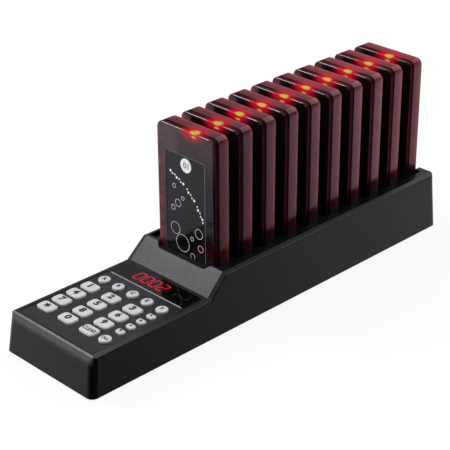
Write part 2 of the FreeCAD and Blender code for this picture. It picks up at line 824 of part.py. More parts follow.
# ---- pager: built with its front face at y = 0 and its lower edge at z = 0 ----
def pager_hollow(y0, y1):
    """The room inside a pager, between two depths."""
    return rounded_plate(pager_width - 2 * pager_wall, pager_height - 2 * pager_wall,
                         pager_corner_radius - pager_wall, y0, y1, pager_wall)


def front_cover():
    cover = rounded_plate(pager_width, pager_height, pager_corner_radius, 0.0, cover_thickness)
    cover = cover.makeFillet(cover_edge_round, edges_on(cover, "y", 0.0))
    hollow = pager_hollow(cover_skin, cover_thickness + 1)
    label_width = pager_width - 2 * label_side_margin
    label_height = pager_height - label_top_margin - label_bottom_margin
    label = rounded_plate(label_width, label_height, label_radius, -1.0, label_recess, label_bottom_margin)
    return cover.cut([hollow, label])


def rear_body():
    neck_front = cover_thickness
    neck_rear = cover_thickness + groove_width
    neck = rounded_plate(pager_width - 2 * groove_depth, pager_height - 2 * groove_depth,
                         pager_corner_radius - groove_depth, neck_front, neck_rear, groove_depth)
    body = rounded_plate(pager_width, pager_height, pager_corner_radius, neck_rear, pager_thickness)
    body = body.makeFillet(body_edge_round, edges_on(body, "y", pager_thickness))
    hollow = pager_hollow(neck_front - 1, pager_thickness - pager_wall)
    board_back = neck_rear + pager_board_setback + pager_board_thickness
    posts = []
    for side in (-1, 1):
        for z in (pager_post_inset, pager_height - pager_post_inset):
            start = Vector(side * (pager_width / 2 - pager_post_side_margin), board_back, z)
            posts.append(Part.makeCylinder(pager_post_radius, pager_thickness - pager_wall / 2 - board_back,
                                           start, Vector(0, 1, 0)))
    pads = []
    hole = pad_size / 2 + pad_clearance
    for side in (-1, 1):
        x = side * contact_x
        pads.append(box(x - hole, x + hole, contact_y - hole, contact_y + hole, -1, pager_wall + 1))
    return neck.fuse(body).cut(hollow).fuse(posts).cut(pads).removeSplitter()


def pager_works():
    """Circuit board with its battery, vibration motor, light and charging pads."""
    board_front = cover_thickness + groove_width + pager_board_setback
    board_back = board_front + pager_board_thickness
    board_top = pager_height - pager_board_margin
    board_half = pager_width / 2 - pager_board_side_margin
    room = pager_thickness - pager_wall - board_back
    battery_top = battery_bottom + battery_height
    board = box(-board_half, board_half, board_front, board_back, pager_board_margin, board_top)
    battery = box(-battery_width / 2, battery_width / 2, board_back, board_back + room - battery_gap,
                  battery_bottom, battery_top)
    motor_radius = room / 2 - motor_gap
    motor_start = Vector(motor_offset - motor_length / 2, board_back + motor_radius,
                         battery_top + motor_distance + motor_radius)
    motor = Part.makeCylinder(motor_radius, motor_length, motor_start, Vector(1, 0, 0))
    led_z = board_top - led_drop
    led = box(led_offset - led_width / 2, led_offset + led_width / 2, board_front - led_depth, board_front,
              led_z, led_z + led_height)
    pieces = [board, battery, motor, led]
    for side in (-1, 1):
        x = side * contact_x
        half = pad_size / 2
        pieces.append(box(x - half, x + half, contact_y - half, contact_y + half,
                          0.0, pager_board_margin + pad_overlap))
    return Part.makeCompound(pieces)


def place_pager(shape, i):
    placed = shape.copy()
    placed.translate(Vector(0, slot_front(i) + slot_clearance, pager_bottom))
    return placed


# ---- all pieces ----
def main():
    os.makedirs("parts", exist_ok=True)
    save("top_housing", top_housing())
    save("bottom_cover", bottom_cover())
    save("rubber_feet", rubber_feet())
    save("case_screws", case_screws())
    save("keypad_panel", keypad_panel())
    save("keypad_mat", keypad_mat())
    save("display_window", display_window())
    save("display_module", display_module())
    save("main_board", main_board())
    save("charging_board", charging_board())
    save("board_screws", board_screws())
    save("ribbon_cable", ribbon_cable())
    save("transmitter_module", transmitter_module())
    save("buzzer", buzzer())
    save("antenna", antenna())
    save("dc_jack", dc_jack())
    save("pager_rack", pager_rack())
    save("charging_contacts", charging_contacts())
    for name, kind, x, y in key_places():
        save(name, key(kind, x, y))
    case = Part.makeCompound([front_cover(), rear_body()])
    works = pager_works()
    for i in range(pager_count):
        save("pager_%02d_case" % (i + 1), place_pager(case, i))
        save("pager_%02d_works" % (i + 1), place_pager(works, i))


main()
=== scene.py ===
"""Guest pager system: finishes, legends, labels, lit display and pagers, and the stage.

Laid out as a Blender add-on. Lengths are in metres, and MM turns millimetres into them.
"""

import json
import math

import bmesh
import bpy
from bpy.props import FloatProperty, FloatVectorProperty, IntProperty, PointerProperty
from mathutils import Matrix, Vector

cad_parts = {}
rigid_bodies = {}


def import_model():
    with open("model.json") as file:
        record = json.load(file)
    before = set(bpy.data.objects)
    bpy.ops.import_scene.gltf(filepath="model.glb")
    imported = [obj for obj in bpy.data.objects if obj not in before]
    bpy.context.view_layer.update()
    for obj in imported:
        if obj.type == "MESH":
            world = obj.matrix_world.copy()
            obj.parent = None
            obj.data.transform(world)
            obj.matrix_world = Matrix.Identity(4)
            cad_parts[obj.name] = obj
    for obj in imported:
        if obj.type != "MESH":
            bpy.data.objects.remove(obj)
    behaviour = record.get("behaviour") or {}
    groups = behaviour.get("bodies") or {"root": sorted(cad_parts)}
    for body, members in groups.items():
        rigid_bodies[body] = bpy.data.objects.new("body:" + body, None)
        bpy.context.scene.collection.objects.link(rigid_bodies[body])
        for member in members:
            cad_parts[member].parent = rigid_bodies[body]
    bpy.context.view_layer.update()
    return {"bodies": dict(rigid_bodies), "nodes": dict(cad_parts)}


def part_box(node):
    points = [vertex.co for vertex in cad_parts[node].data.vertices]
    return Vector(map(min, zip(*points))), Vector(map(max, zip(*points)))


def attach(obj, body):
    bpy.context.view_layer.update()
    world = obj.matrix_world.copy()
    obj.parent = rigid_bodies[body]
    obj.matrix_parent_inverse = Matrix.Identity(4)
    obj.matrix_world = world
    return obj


bl_info = {
    "name": "Guest pager system",
    "version": (1, 0, 0),
    "blender": (4, 5, 0),
    "location": "View3D > Sidebar > Pagers",
    "description": "Finishes, legends, labels, lit display and stage for a guest pager system",
    "category": "Object",
}

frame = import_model()

MM = 0.001
BASE = "base"
PAGERS = sorted(body for body in frame["bodies"] if body.startswith("pager_"))
KEYS = sorted(body for body in frame["bodies"] if body.startswith("key_"))


# ---------------------------------------------------------------- small helpers
def linear(code):
    """Linear colour from an sRGB hex code such as '#1a2b3c'."""
    parts = [int(code[i:i + 2], 16) / 255.0 for i in (1, 3, 5)]
    return tuple(p / 12.92 if p <= 0.04045 else ((p + 0.055) / 1.055) ** 2.4 for p in parts)


def opaque(colour):
    """The same colour with full alpha."""
    return (colour[0], colour[1], colour[2], 1.0)


def add_node(tree, kind, inputs=(), stops=(), **settings):
    """Adds one node with its settings and links.

    inputs are the sockets' values in order, or by name or number in a dict. A socket is linked
    where its value is an output, or a node, which stands for its first output. stops are a ramp's
    positions and grey levels. settings are the node's own attributes.
    """
    node = tree.nodes.new(kind)
    for name, value in settings.items():
        setattr(node, name, value)
    if stops:
        elements = node.color_ramp.elements
        elements.remove(elements[1])
        for position, level in stops:
            stop = elements[0] if position == stops[0][0] else elements.new(position)
            stop.position = position
            stop.color = (level, level, level, 1.0)
    pairs = inputs.items() if isinstance(inputs, dict) else enumerate(inputs)
    for socket, value in pairs:
        if isinstance(value, bpy.types.Node):
            value = value.outputs[0]
        if isinstance(value, bpy.types.NodeSocket):
            tree.links.new(value, node.inputs[socket])
        else:
            node.inputs[socket].default_value = value
    return node


def new_material(name):
    """A material without nodes yet, and its node tree."""
    material = bpy.data.materials.new(name)
    material.use_nodes = True
    material.node_tree.nodes.clear()
    return material, material.node_tree


def new_piece(name, mesh_maker, materials, body):
    """A mesh object made by mesh_maker(bmesh), with its materials, riding a body."""
    mesh = bpy.data.meshes.new(name)
    shape = bmesh.new()
    mesh_maker(shape)
    bmesh.ops.recalc_face_normals(shape, faces=shape.faces)
    shape.to_mesh(mesh)
    shape.free()
    for material in materials:
        mesh.materials.append(material)
    piece = bpy.data.objects.new(name, mesh)
    bpy.context.scene.collection.objects.link(piece)
    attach(piece, body)
    return piece


def raise_outline(shape, points, place, thickness, material=0):
    """A closed flat plate: an outline in 2D, put into space by place(u, v, height)."""
    low = [shape.verts.new(place(u, v, 0.0)) for u, v in points]
    high = [shape.verts.new(place(u, v, thickness)) for u, v in points]
    faces = [shape.faces.new(low[::-1]), shape.faces.new(high)]
    for i in range(len(points)):
        j = (i + 1) % len(points)
        faces.append(shape.faces.new((low[i], low[j], high[j], high[i])))
    for face in faces:
        face.material_index = material


def raise_ring(shape, centre, outer, inner, place, thickness, material=0, steps=40):
    """A flat ring with square edges."""
    rows = []
    for k in range(steps):
        angle = math.radians(360.0 * k / steps)
        across = []
        for radius, height in ((outer, 0.0), (outer, thickness), (inner, thickness), (inner, 0.0)):
            u = centre[0] + radius * math.cos(angle)
            v = centre[1] + radius * math.sin(angle)
            across.append(shape.verts.new(place(u, v, height)))
        rows.append(across)
    for k in range(steps):
        a, b = rows[k], rows[(k + 1) % steps]
        for i in range(4):
            face = shape.faces.new((a[i], a[(i + 1) % 4], b[(i + 1) % 4], b[i]))
            face.material_index = material


def disc_points(centre, radius, steps=40):
    """Outline of a disc."""
    return [(centre[0] + radius * math.cos(2 * math.pi * k / steps),
             centre[1] + radius * math.sin(2 * math.pi * k / steps)) for k in range(steps)]


def rounded_rectangle(half_u, low_v, high_v, radius, steps=6):
    """Outline of a rectangle with rounded corners, centred on u = 0."""
    points = []
    corners = ((half_u, high_v, 0), (-half_u, high_v, 90),
               (-half_u, low_v, 180), (half_u, low_v, 270))
    for u, v, start in corners:
        centre_u = u - math.copysign(radius, u)
        centre_v = v - radius if v == high_v else v + radius
        for k in range(steps + 1):
            angle = math.radians(start + 90 * k / steps)
            points.append((centre_u + radius * math.cos(angle),
                           centre_v + radius * math.sin(angle)))
    return points


def raise_text(shape, text, centre, height, place, thickness, material=0, stretch=1.0, weight=0.0):
    """Plain sans-serif characters as raised geometry, centred on a point."""
    curve = bpy.data.curves.new("characters", "FONT")
    curve.body = text
    curve.fill_mode = "BOTH"
    curve.extrude = 0.5
    curve.offset = weight
    # finer curves let the thickened outlines of a 3 and an 8 cross themselves
    curve.resolution_u = 3
    holder = bpy.data.objects.new("characters", curve)
    bpy.context.scene.collection.objects.link(holder)
    bpy.context.view_layer.update()
    evaluated = holder.evaluated_get(bpy.context.evaluated_depsgraph_get())
    mesh = bpy.data.meshes.new_from_object(evaluated)
    bpy.data.objects.remove(holder)
    us = [v.co.x for v in mesh.vertices]
    vs = [v.co.y for v in mesh.vertices]
    scale = height / (max(vs) - min(vs))
    middle_u, middle_v = (max(us) + min(us)) / 2, (max(vs) + min(vs)) / 2
    made = []
    for vertex in mesh.vertices:
        u = centre[0] + (vertex.co.x - middle_u) * scale * stretch
        v = centre[1] + (vertex.co.y - middle_v) * scale
        made.append(shape.verts.new(place(u, v, thickness if vertex.co.z > 0 else 0.0)))
    for polygon in mesh.polygons:
        face = shape.faces.new([made[i] for i in polygon.vertices])
        face.material_index = material
    bpy.data.meshes.remove(mesh)


def paint(material, *nodes):
    """Puts one material on all of some CAD nodes' faces."""
    for name in nodes:
        mesh = frame["nodes"][name].data
        mesh.materials.clear()
        mesh.materials.append(material)
        for polygon in mesh.polygons:
            polygon.material_index = 0


# ---------------------------------------------------------------- finishes
def moulded_abs(name, colour, grain_mm, relief_mm, roughness, skin=0.5, highlight_top=None):
    """ABS moulded in a spark-eroded tool: a fine even grain that breaks up the shine.

    The last argument, if given, is the height of a top edge: below it the side facing front is
    painted paler, a painted highlight that stands in for a wide rounded edge catching light.
    """
    material, tree = new_material(name)
    place = add_node(tree, "ShaderNodeTexCoord").outputs["Object"]
    grain = add_node(tree, "ShaderNodeTexNoise",
                     {"Vector": place, "Scale": 1.0 / (grain_mm * MM), "Detail": 2.0,
                      "Roughness": 0.55})
    flow_lines = 38 * MM
    flow = add_node(tree, "ShaderNodeTexNoise",
                    {"Vector": place, "Scale": 1.0 / flow_lines, "Detail": 3.0})
    shade = add_node(tree, "ShaderNodeMapRange",
                     {"Value": grain, "From Min": 0.3, "From Max": 0.7,
                      "To Min": 0.7, "To Max": 1.3})
    tint = add_node(tree, "ShaderNodeVectorMath", {0: colour[:3], "Scale": shade},
                    operation="SCALE")
    if highlight_top is not None:
        reach = 8.5 * MM
        highlight_level = 0.17
        normal = add_node(tree, "ShaderNodeNewGeometry").outputs["Normal"]
        front = add_node(tree, "ShaderNodeVectorMath", (normal, (0.0, -1.0, 0.0)),
                         operation="DOT_PRODUCT")
        faces_front = add_node(tree, "ShaderNodeMapRange",
                               {"Value": front.outputs["Value"], "From Min": 0.6, "From Max": 0.92})
        height = add_node(tree, "ShaderNodeSeparateXYZ", (place,)).outputs["Z"]
        near_edge = add_node(tree, "ShaderNodeMapRange",
                             {"Value": height, "From Min": highlight_top - reach, "From Max": highlight_top})
        stronger = add_node(tree, "ShaderNodeMath", (near_edge, 2.0), operation="POWER")
        # no painted highlight above the edge
        under_edge = add_node(tree, "ShaderNodeMath", (height, highlight_top), operation="LESS_THAN")
        # painted highlight: paler on faces turned to the front, just under the top edge
        painted_highlight = faces_front
        for share in (stronger, under_edge):
            painted_highlight = add_node(tree, "ShaderNodeMath", (painted_highlight, share), operation="MULTIPLY")
        # the painted highlight keeps the plastic's hue; pure black has none, so the highlight is
        # grey
        brightest = max(colour[:3])
        pale = tuple(highlight_level * c / brightest if brightest else highlight_level for c in colour[:3])
        more = add_node(tree, "ShaderNodeVectorMath", {0: pale, "Scale": painted_highlight}, operation="SCALE")
        tint = add_node(tree, "ShaderNodeVectorMath", (tint, more), operation="ADD")
    glint = add_node(tree, "ShaderNodeMath", (shade, skin), operation="MULTIPLY")
    sheen = add_node(tree, "ShaderNodeMapRange",
                     {"Value": flow, "From Min": 0.3, "From Max": 0.7,
                      "To Min": roughness - 0.03, "To Max": roughness + 0.04})
    relief = add_node(tree, "ShaderNodeBump",
                      {"Height": grain, "Distance": relief_mm * MM, "Strength": 1.0})
    shader = add_node(tree, "ShaderNodeBsdfPrincipled",
                      {"Base Color": tint, "Roughness": sheen, "IOR": 1.53,
                       "Specular IOR Level": glint, "Normal": relief})
    add_node(tree, "ShaderNodeOutputMaterial", {"Surface": shader})
    return material


def printed_polyester(name, colour, roughness):
    """Back-printed polyester film: a flat satin skin with a very slight orange peel."""
    peel_width, haze_width, peel_relief = 1.1 * MM, 22 * MM, 0.004 * MM
    material, tree = new_material(name)
    place = add_node(tree, "ShaderNodeTexCoord").outputs["Object"]
    peel = add_node(tree, "ShaderNodeTexNoise",
                    {"Vector": place, "Scale": 1.0 / peel_width, "Detail": 1.5})
    haze = add_node(tree, "ShaderNodeTexNoise",
                    {"Vector": place, "Scale": 1.0 / haze_width, "Detail": 2.0})
    gloss = add_node(tree, "ShaderNodeMapRange",
                     {"Value": haze, "From Min": 0.3, "From Max": 0.7,
                      "To Min": roughness * 0.85, "To Max": roughness * 1.15})
    relief = add_node(tree, "ShaderNodeBump",
                      {"Height": peel, "Distance": peel_relief, "Strength": 1.0})
    shader = add_node(tree, "ShaderNodeBsdfPrincipled",
                      {"Base Color": opaque(colour), "Roughness": gloss, "IOR": 1.57,
                       "Normal": relief})
    add_node(tree, "ShaderNodeOutputMaterial", {"Surface": shader})
    return material


def moulded_silicone(name, colour, roughness, softness_mm):
    """Moulded silicone rubber: light sinks in a little, so edges look soft; fine dust dulls it."""
    dust_size, dust_relief = 0.6 * MM, 0.006 * MM
    material, tree = new_material(name)
    place = add_node(tree, "ShaderNodeTexCoord").outputs["Object"]
    dust = add_node(tree, "ShaderNodeTexNoise",
                    {"Vector": place, "Scale": 1.0 / dust_size, "Detail": 4.0})
    shade = add_node(tree, "ShaderNodeMapRange",
                     {"Value": dust, "From Min": 0.3, "From Max": 0.7,
                      "To Min": 0.95, "To Max": 1.03})
    tint = add_node(tree, "ShaderNodeVectorMath", {0: colour[:3], "Scale": shade},
                    operation="SCALE")
    relief = add_node(tree, "ShaderNodeBump",
                      {"Height": dust, "Distance": dust_relief, "Strength": 1.0})
    shader = add_node(tree, "ShaderNodeBsdfPrincipled",
                      {"Base Color": tint, "Roughness": roughness, "IOR": 1.41,
                       "Subsurface Weight": 0.25, "Subsurface Scale": softness_mm * MM,
                       "Subsurface Radius": (1.0, 0.9, 0.85), "Normal": relief})
    add_node(tree, "ShaderNodeOutputMaterial", {"Surface": shader})
    return material


def screen_ink(name, colour, roughness):
    """Screen-printed ink: nearly flat, with the thin spots a printing mesh leaves."""
    mesh_spacing = 0.25 * MM
    material, tree = new_material(name)
    place = add_node(tree, "ShaderNodeTexCoord").outputs["Object"]
    spots = add_node(tree, "ShaderNodeTexNoise",
                     {"Vector": place, "Scale": 1.0 / mesh_spacing, "Detail": 2.0})
    shade = add_node(tree, "ShaderNodeMapRange",
                     {"Value": spots, "From Min": 0.3, "From Max": 0.7,
                      "To Min": 0.9, "To Max": 1.05})
    tint = add_node(tree, "ShaderNodeVectorMath", {0: colour[:3], "Scale": shade},
                    operation="SCALE")
    shader = add_node(tree, "ShaderNodeBsdfPrincipled",
                      {"Base Color": tint, "Roughness": roughness, "IOR": 1.5})
    add_node(tree, "ShaderNodeOutputMaterial", {"Surface": shader})
    return material


def smoked_acrylic(name, colour, see_through):
    """Smoked acrylic sheet: polished, and dark enough that only what is lit behind it shows."""
    smear_width = 9 * MM
    material, tree = new_material(name)
    place = add_node(tree, "ShaderNodeTexCoord").outputs["Object"]
    smears = add_node(tree, "ShaderNodeTexNoise",
                      {"Vector": place, "Scale": 1.0 / smear_width, "Detail": 5.0})
    gloss = add_node(tree, "ShaderNodeMapRange",
                     {"Value": smears, "From Min": 0.35, "From Max": 0.75,
                      "To Min": 0.02, "To Max": 0.07})
    shader = add_node(tree, "ShaderNodeBsdfPrincipled",
                      {"Base Color": opaque(colour), "Roughness": gloss, "IOR": 1.49,
                       "Alpha": 1.0 - see_through})
    add_node(tree, "ShaderNodeOutputMaterial", {"Surface": shader})
    return material


def lit_segment(name, colour, strength):
    """Diffused light-emitting segment: red light, slightly uneven along each bar."""
    patch_width = 1.3 * MM
    material, tree = new_material(name)
    place = add_node(tree, "ShaderNodeTexCoord").outputs["Object"]
    uneven = add_node(tree, "ShaderNodeTexNoise",
                      {"Vector": place, "Scale": 1.0 / patch_width, "Detail": 1.0})
    power = add_node(tree, "ShaderNodeMapRange",
                     {"Value": uneven, "From Min": 0.3, "From Max": 0.7,
                      "To Min": strength * 0.85, "To Max": strength * 1.15})
    shader = add_node(tree, "ShaderNodeBsdfPrincipled",
                      {"Base Color": opaque(colour), "Roughness": 0.5,
                       "Emission Color": opaque(colour), "Emission Strength": power})
    add_node(tree, "ShaderNodeOutputMaterial", {"Surface": shader})
    return material


def plated_metal(name, colour, roughness):
    """Plated metal: bright, with the faint tool marks of the metal under the plating."""
    mark_width, mark_relief = 0.5 * MM, 0.01 * MM
    material, tree = new_material(name)
    place = add_node(tree, "ShaderNodeTexCoord").outputs["Object"]
    marks = add_node(tree, "ShaderNodeTexNoise",
                     {"Vector": place, "Scale": 1.0 / mark_width, "Detail": 6.0})
    gloss = add_node(tree, "ShaderNodeMapRange",
                     {"Value": marks, "From Min": 0.3, "From Max": 0.7,
                      "To Min": roughness * 0.7, "To Max": roughness * 1.3})
    relief = add_node(tree, "ShaderNodeBump",
                      {"Height": marks, "Distance": mark_relief, "Strength": 1.0})
    shader = add_node(tree, "ShaderNodeBsdfPrincipled",
                      {"Base Color": opaque(colour), "Metallic": 1.0, "Roughness": gloss,
                       "Normal": relief})
    add_node(tree, "ShaderNodeOutputMaterial", {"Surface": shader})
    return material


def solder_resist(name, colour):
    """Circuit board under solder resist: a glossy green coat, paler over the copper tracks."""
    track_block = 12 * MM
    material, tree = new_material(name)
    place = add_node(tree, "ShaderNodeTexCoord").outputs["Object"]
    tracks = add_node(tree, "ShaderNodeTexBrick",
                      {"Vector": place, "Scale": 1.0 / track_block, "Mortar Size": 0.06,
                       "Brick Width": 0.9, "Row Height": 0.22, "Color1": opaque(colour),
                       "Color2": opaque([c * 1.2 for c in colour]),
                       "Mortar": opaque([c * 1.9 for c in colour])})
    shader = add_node(tree, "ShaderNodeBsdfPrincipled",
                      {"Base Color": tracks, "Roughness": 0.3, "IOR": 1.5})
    add_node(tree, "ShaderNodeOutputMaterial", {"Surface": shader})
    return material


def smoked_polycarbonate(name, core, edge, haze, glow, hot):
    """Smoked red polycarbonate, injection moulded and polished.

    Seen square on it is nearly black; at the outer edges more light gets through and it is redder.
    Behind the top edge a light shines through the wall: a red bloom with two yellow hot spots.
    Places are worked out in each pager's own millimetres, because the pagers stand in a row.
    """
    first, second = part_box(PAGERS[0] + "_case"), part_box(PAGERS[1] + "_case")
    pitch = (second[0][1] - first[0][1]) / MM
    front = first[0][1] / MM
    thickness = (first[1][1] - first[0][1]) / MM
    top = first[1][2] / MM
    half = first[1][0] / MM
    last = len(PAGERS) - 1
    # how far before its front face the space of a pager begins
    margin = 2.0
    # where a face turns from the front to the side, in depth, and from the side to the top
    front_to_side = (0.9, 1.6)
    side_to_top = (top - 2.2, top - 0.6)
    # widths of the clouds of red, of the ripples of the moulding and of the smears of fingers
    cloud_width, ripple_width, smear_width = 8 * MM, 17 * MM, 4 * MM
    ripple_relief = 0.05 * MM

    material, tree = new_material(name)
    place = add_node(tree, "ShaderNodeTexCoord").outputs["Object"]
    in_mm = add_node(tree, "ShaderNodeVectorMath", {0: place, "Scale": 1.0 / MM},
                     operation="SCALE")
    across, along, up = add_node(tree, "ShaderNodeSeparateXYZ", (in_mm,)).outputs
    start = add_node(tree, "ShaderNodeMath", (along, margin - front), operation="ADD")
    index = add_node(tree, "ShaderNodeMath", (start, pitch), operation="DIVIDE")
    # the pager's number from 0, and how deep a point lies behind that pager's front face
    pager = add_node(tree, "ShaderNodeMath", (index,), operation="FLOOR")
    wrapped = add_node(tree, "ShaderNodeMath", (start, pitch), operation="MODULO")
    depth = add_node(tree, "ShaderNodeMath", (wrapped, margin), operation="SUBTRACT")

    # how much of the edge's red shows, and how much the skin mirrors, from front (0) to back (1)
    share = add_node(tree, "ShaderNodeMath", (depth, thickness), operation="DIVIDE")
    profile = add_node(tree, "ShaderNodeValToRGB", (share,),
                       ((0.0, 0.0), (0.06, 0.0), (0.09, 0.16), (0.14, 0.04), (0.3, 0.03),
                        (0.345, 0.06), (0.36, 0.36), (0.4, 0.15), (0.62, 0.22), (0.8, 0.42),
                        (0.9, 0.85), (0.965, 0.5), (1.0, 0.06)))
    mirror = add_node(tree, "ShaderNodeValToRGB", (share,),
                      ((0.0, 0.5), (0.008, 1.0), (0.045, 1.0), (0.065, 0.03), (0.35, 0.03),
                       (0.4, 0.5), (1.0, 0.6)))
    on_front = add_node(tree, "ShaderNodeMapRange", (depth, *front_to_side, 1.0, 0.0),
                        interpolation_type="SMOOTHSTEP")
    on_top = add_node(tree, "ShaderNodeMapRange", (up, *side_to_top, 0.0, 1.0),
                      interpolation_type="SMOOTHSTEP")
    cloud = add_node(tree, "ShaderNodeTexNoise",
                     {"Vector": place, "Scale": 1.0 / cloud_width, "Detail": 3.0,
                      "Roughness": 0.5})
    cloudy = add_node(tree, "ShaderNodeMapRange",
                      {"Value": cloud, "From Min": 0.35, "From Max": 0.68,
                       "To Min": 0.82, "To Max": 1.18})
    # painted shade: the red fades towards the tray, where little light reaches; on the first pager
    # only a little
    tray_shade = add_node(tree, "ShaderNodeMapRange", (up, top - 92, top - 76, 0.15, 1.0),
                       interpolation_type="SMOOTHSTEP")
    kept = add_node(tree, "ShaderNodeMapRange", (pager, 0, 1, 0.8, 0.0),
                    interpolation_type="SMOOTHSTEP")
    foot = add_node(tree, "ShaderNodeMath", (tray_shade, kept), operation="MAXIMUM")
    # the front's outer left edge has stronger clouds of red
    not_left = add_node(tree, "ShaderNodeMapRange", (across, 1 - half, 10 - half, 0.0, 1.0),
                        interpolation_type="SMOOTHSTEP")
    patchy = add_node(tree, "ShaderNodeMapRange", (cloud, 0.42, 0.6, 0.25, 0.7),
                      interpolation_type="SMOOTHSTEP")
    all_over = add_node(tree, "ShaderNodeMath", (on_front, patchy), operation="MULTIPLY")
    inward = on_front
    for factor in (not_left, patchy):
        inward = add_node(tree, "ShaderNodeMath", (inward, factor), operation="MULTIPLY")
    strip = add_node(tree, "ShaderNodeMath", (all_over, inward), operation="SUBTRACT")
    # towards the end of the row more light comes through from behind, and less is mirrored
    through = add_node(tree, "ShaderNodeMapRange", (pager, 2, last, 1.0, 2.0),
                       interpolation_type="SMOOTHSTEP")
    red = profile
    for factor in (foot, through):
        red = add_node(tree, "ShaderNodeMath", (red, factor), operation="MULTIPLY")
    top_red = add_node(tree, "ShaderNodeMath", (on_top, 0.06), operation="MULTIPLY")
    for part in (strip, top_red):
        red = add_node(tree, "ShaderNodeMath", (red, part), operation="ADD")
    redness = add_node(tree, "ShaderNodeMath", (red, cloudy), operation="MULTIPLY",
                       use_clamp=True)
    deep = add_node(tree, "ShaderNodeMix", {"Factor": redness, 6: opaque(core), 7: opaque(edge)},
                    data_type="RGBA")
    # the front wall is hazy in its upper left part, where light reaches it from inside; that
    # shows on the first pager alone, because the others stand in each other's shade
    rising = add_node(tree, "ShaderNodeMapRange", (up, top - 60, top - 8, 0.3, 1.0),
                      interpolation_type="SMOOTHSTEP")
    leftward = add_node(tree, "ShaderNodeMapRange", (across, 2 - half, 18, 1.0, 0.0),
                        interpolation_type="SMOOTHSTEP")
    inner = add_node(tree, "ShaderNodeMath", (rising, leftward), operation="MULTIPLY")
    upper = add_node(tree, "ShaderNodeMapRange", (up, top - 42, top - 6, 0.0, 0.5),
                     interpolation_type="SMOOTHSTEP")
    widest = add_node(tree, "ShaderNodeMath", (inner, upper), operation="MAXIMUM")
    first_only = add_node(tree, "ShaderNodeMapRange", (pager, 0, 1, 1.0, 0.08),
                          interpolation_type="SMOOTHSTEP")
    off_edge = add_node(tree, "ShaderNodeMapRange", (across, -half, 9 - half, 0.4, 1.0),
                        interpolation_type="SMOOTHSTEP")
    haze_share = on_front
    for factor in (widest, cloudy, first_only, off_edge):
        haze_share = add_node(tree, "ShaderNodeMath", (haze_share, factor), operation="MULTIPLY")
    tint = add_node(tree, "ShaderNodeMix",
                    {"Factor": haze_share, 6: deep.outputs[2], 7: opaque(haze)},
                    data_type="RGBA")

    # the light behind the top edge; in the middle of the row it sits farther left and to the front
    coming = add_node(tree, "ShaderNodeMapRange", (pager, 0, 3, 0.0, 1.0),
                      interpolation_type="SMOOTHSTEP")
    going = add_node(tree, "ShaderNodeMapRange", (pager, 7, 10, 0.0, 0.6),
                     interpolation_type="SMOOTHSTEP")
    lean = add_node(tree, "ShaderNodeMath", (coming, going), operation="SUBTRACT")
    point = add_node(tree, "ShaderNodeCombineXYZ", (across, depth, up))

    def nearness(centre, drift, spread):
        """1 at a point of the pager, falling off over spread, in millimetres along x, depth, z."""
        moved = add_node(tree, "ShaderNodeVectorMath", {0: drift, "Scale": lean},
                         operation="SCALE")
        middle = add_node(tree, "ShaderNodeVectorMath", (moved, centre), operation="ADD")
        off = add_node(tree, "ShaderNodeVectorMath", (point, middle), operation="SUBTRACT")
        scaled = add_node(tree, "ShaderNodeVectorMath", (off, spread), operation="DIVIDE")
        square = add_node(tree, "ShaderNodeVectorMath", (scaled, scaled),
                          operation="DOT_PRODUCT")
        minus = add_node(tree, "ShaderNodeMath", (square.outputs["Value"], -1.0),
                         operation="MULTIPLY")
        return add_node(tree, "ShaderNodeMath", (minus,), operation="EXPONENT")

    bloom = nearness((6.6, 2.2, top - 0.2), (-2.8, -1.6, -0.8), (9.8, 9.0, 5.0))
    spot_top = nearness((7.6, 2.8, top), (-2.6, -2.3, 0.0), (4.4, 3.7, 1.6))
    spot_front = nearness((8.8, 0.0, top - 2.4), (-4.9, 0.0, -2.0), (2.6, 1.2, 0.9))
    spots = add_node(tree, "ShaderNodeMath", (spot_top, spot_front), operation="MAXIMUM")
    yellow = add_node(tree, "ShaderNodeMapRange", (spots, 0.3, 0.7, 0.0, 1.0),
                      interpolation_type="SMOOTHSTEP")
    light = add_node(tree, "ShaderNodeMix", {"Factor": yellow, 6: opaque(glow), 7: opaque(hot)},
                     data_type="RGBA")
    power = add_node(tree, "ShaderNodeMapRange", (bloom, 0.03, 0.95, 0.0, 1.0),
                     interpolation_type="SMOOTHSTEP")
    # the bright wall outshines what its skin mirrors
    outshone = add_node(tree, "ShaderNodeMapRange", (power, 0.0, 0.8, 1.0, 0.12),
                        interpolation_type="SMOOTHSTEP")
    top_skin = add_node(tree, "ShaderNodeMapRange", (up, *side_to_top, 1.0, 0.45),
                        interpolation_type="SMOOTHSTEP")
    last_ones = add_node(tree, "ShaderNodeMapRange", (pager, 7, last, 1.0, 0.6),
                         interpolation_type="SMOOTHSTEP")
    skin = mirror
    for factor in (outshone, top_skin, last_ones):
        skin = add_node(tree, "ShaderNodeMath", (skin, factor), operation="MULTIPLY")

    ripple = add_node(tree, "ShaderNodeTexNoise",
                      {"Vector": place, "Scale": 1.0 / ripple_width, "Detail": 1.0})
    relief = add_node(tree, "ShaderNodeBump",
                      {"Height": ripple, "Distance": ripple_relief, "Strength": 1.0})
    smears = add_node(tree, "ShaderNodeTexNoise",
                      {"Vector": place, "Scale": 1.0 / smear_width, "Detail": 5.0})
    gloss = add_node(tree, "ShaderNodeMapRange",
                     {"Value": smears, "From Min": 0.35, "From Max": 0.75,
                      "To Min": 0.1, "To Max": 0.2})
    shader = add_node(tree, "ShaderNodeBsdfPrincipled",
                      {"Base Color": tint.outputs[2], "Roughness": gloss, "IOR": 1.58,
                       "Specular IOR Level": skin,
                       "Emission Color": light.outputs[2], "Emission Strength": power,
                       "Normal": relief})
    add_node(tree, "ShaderNodeOutputMaterial", {"Surface": shader})
    return material


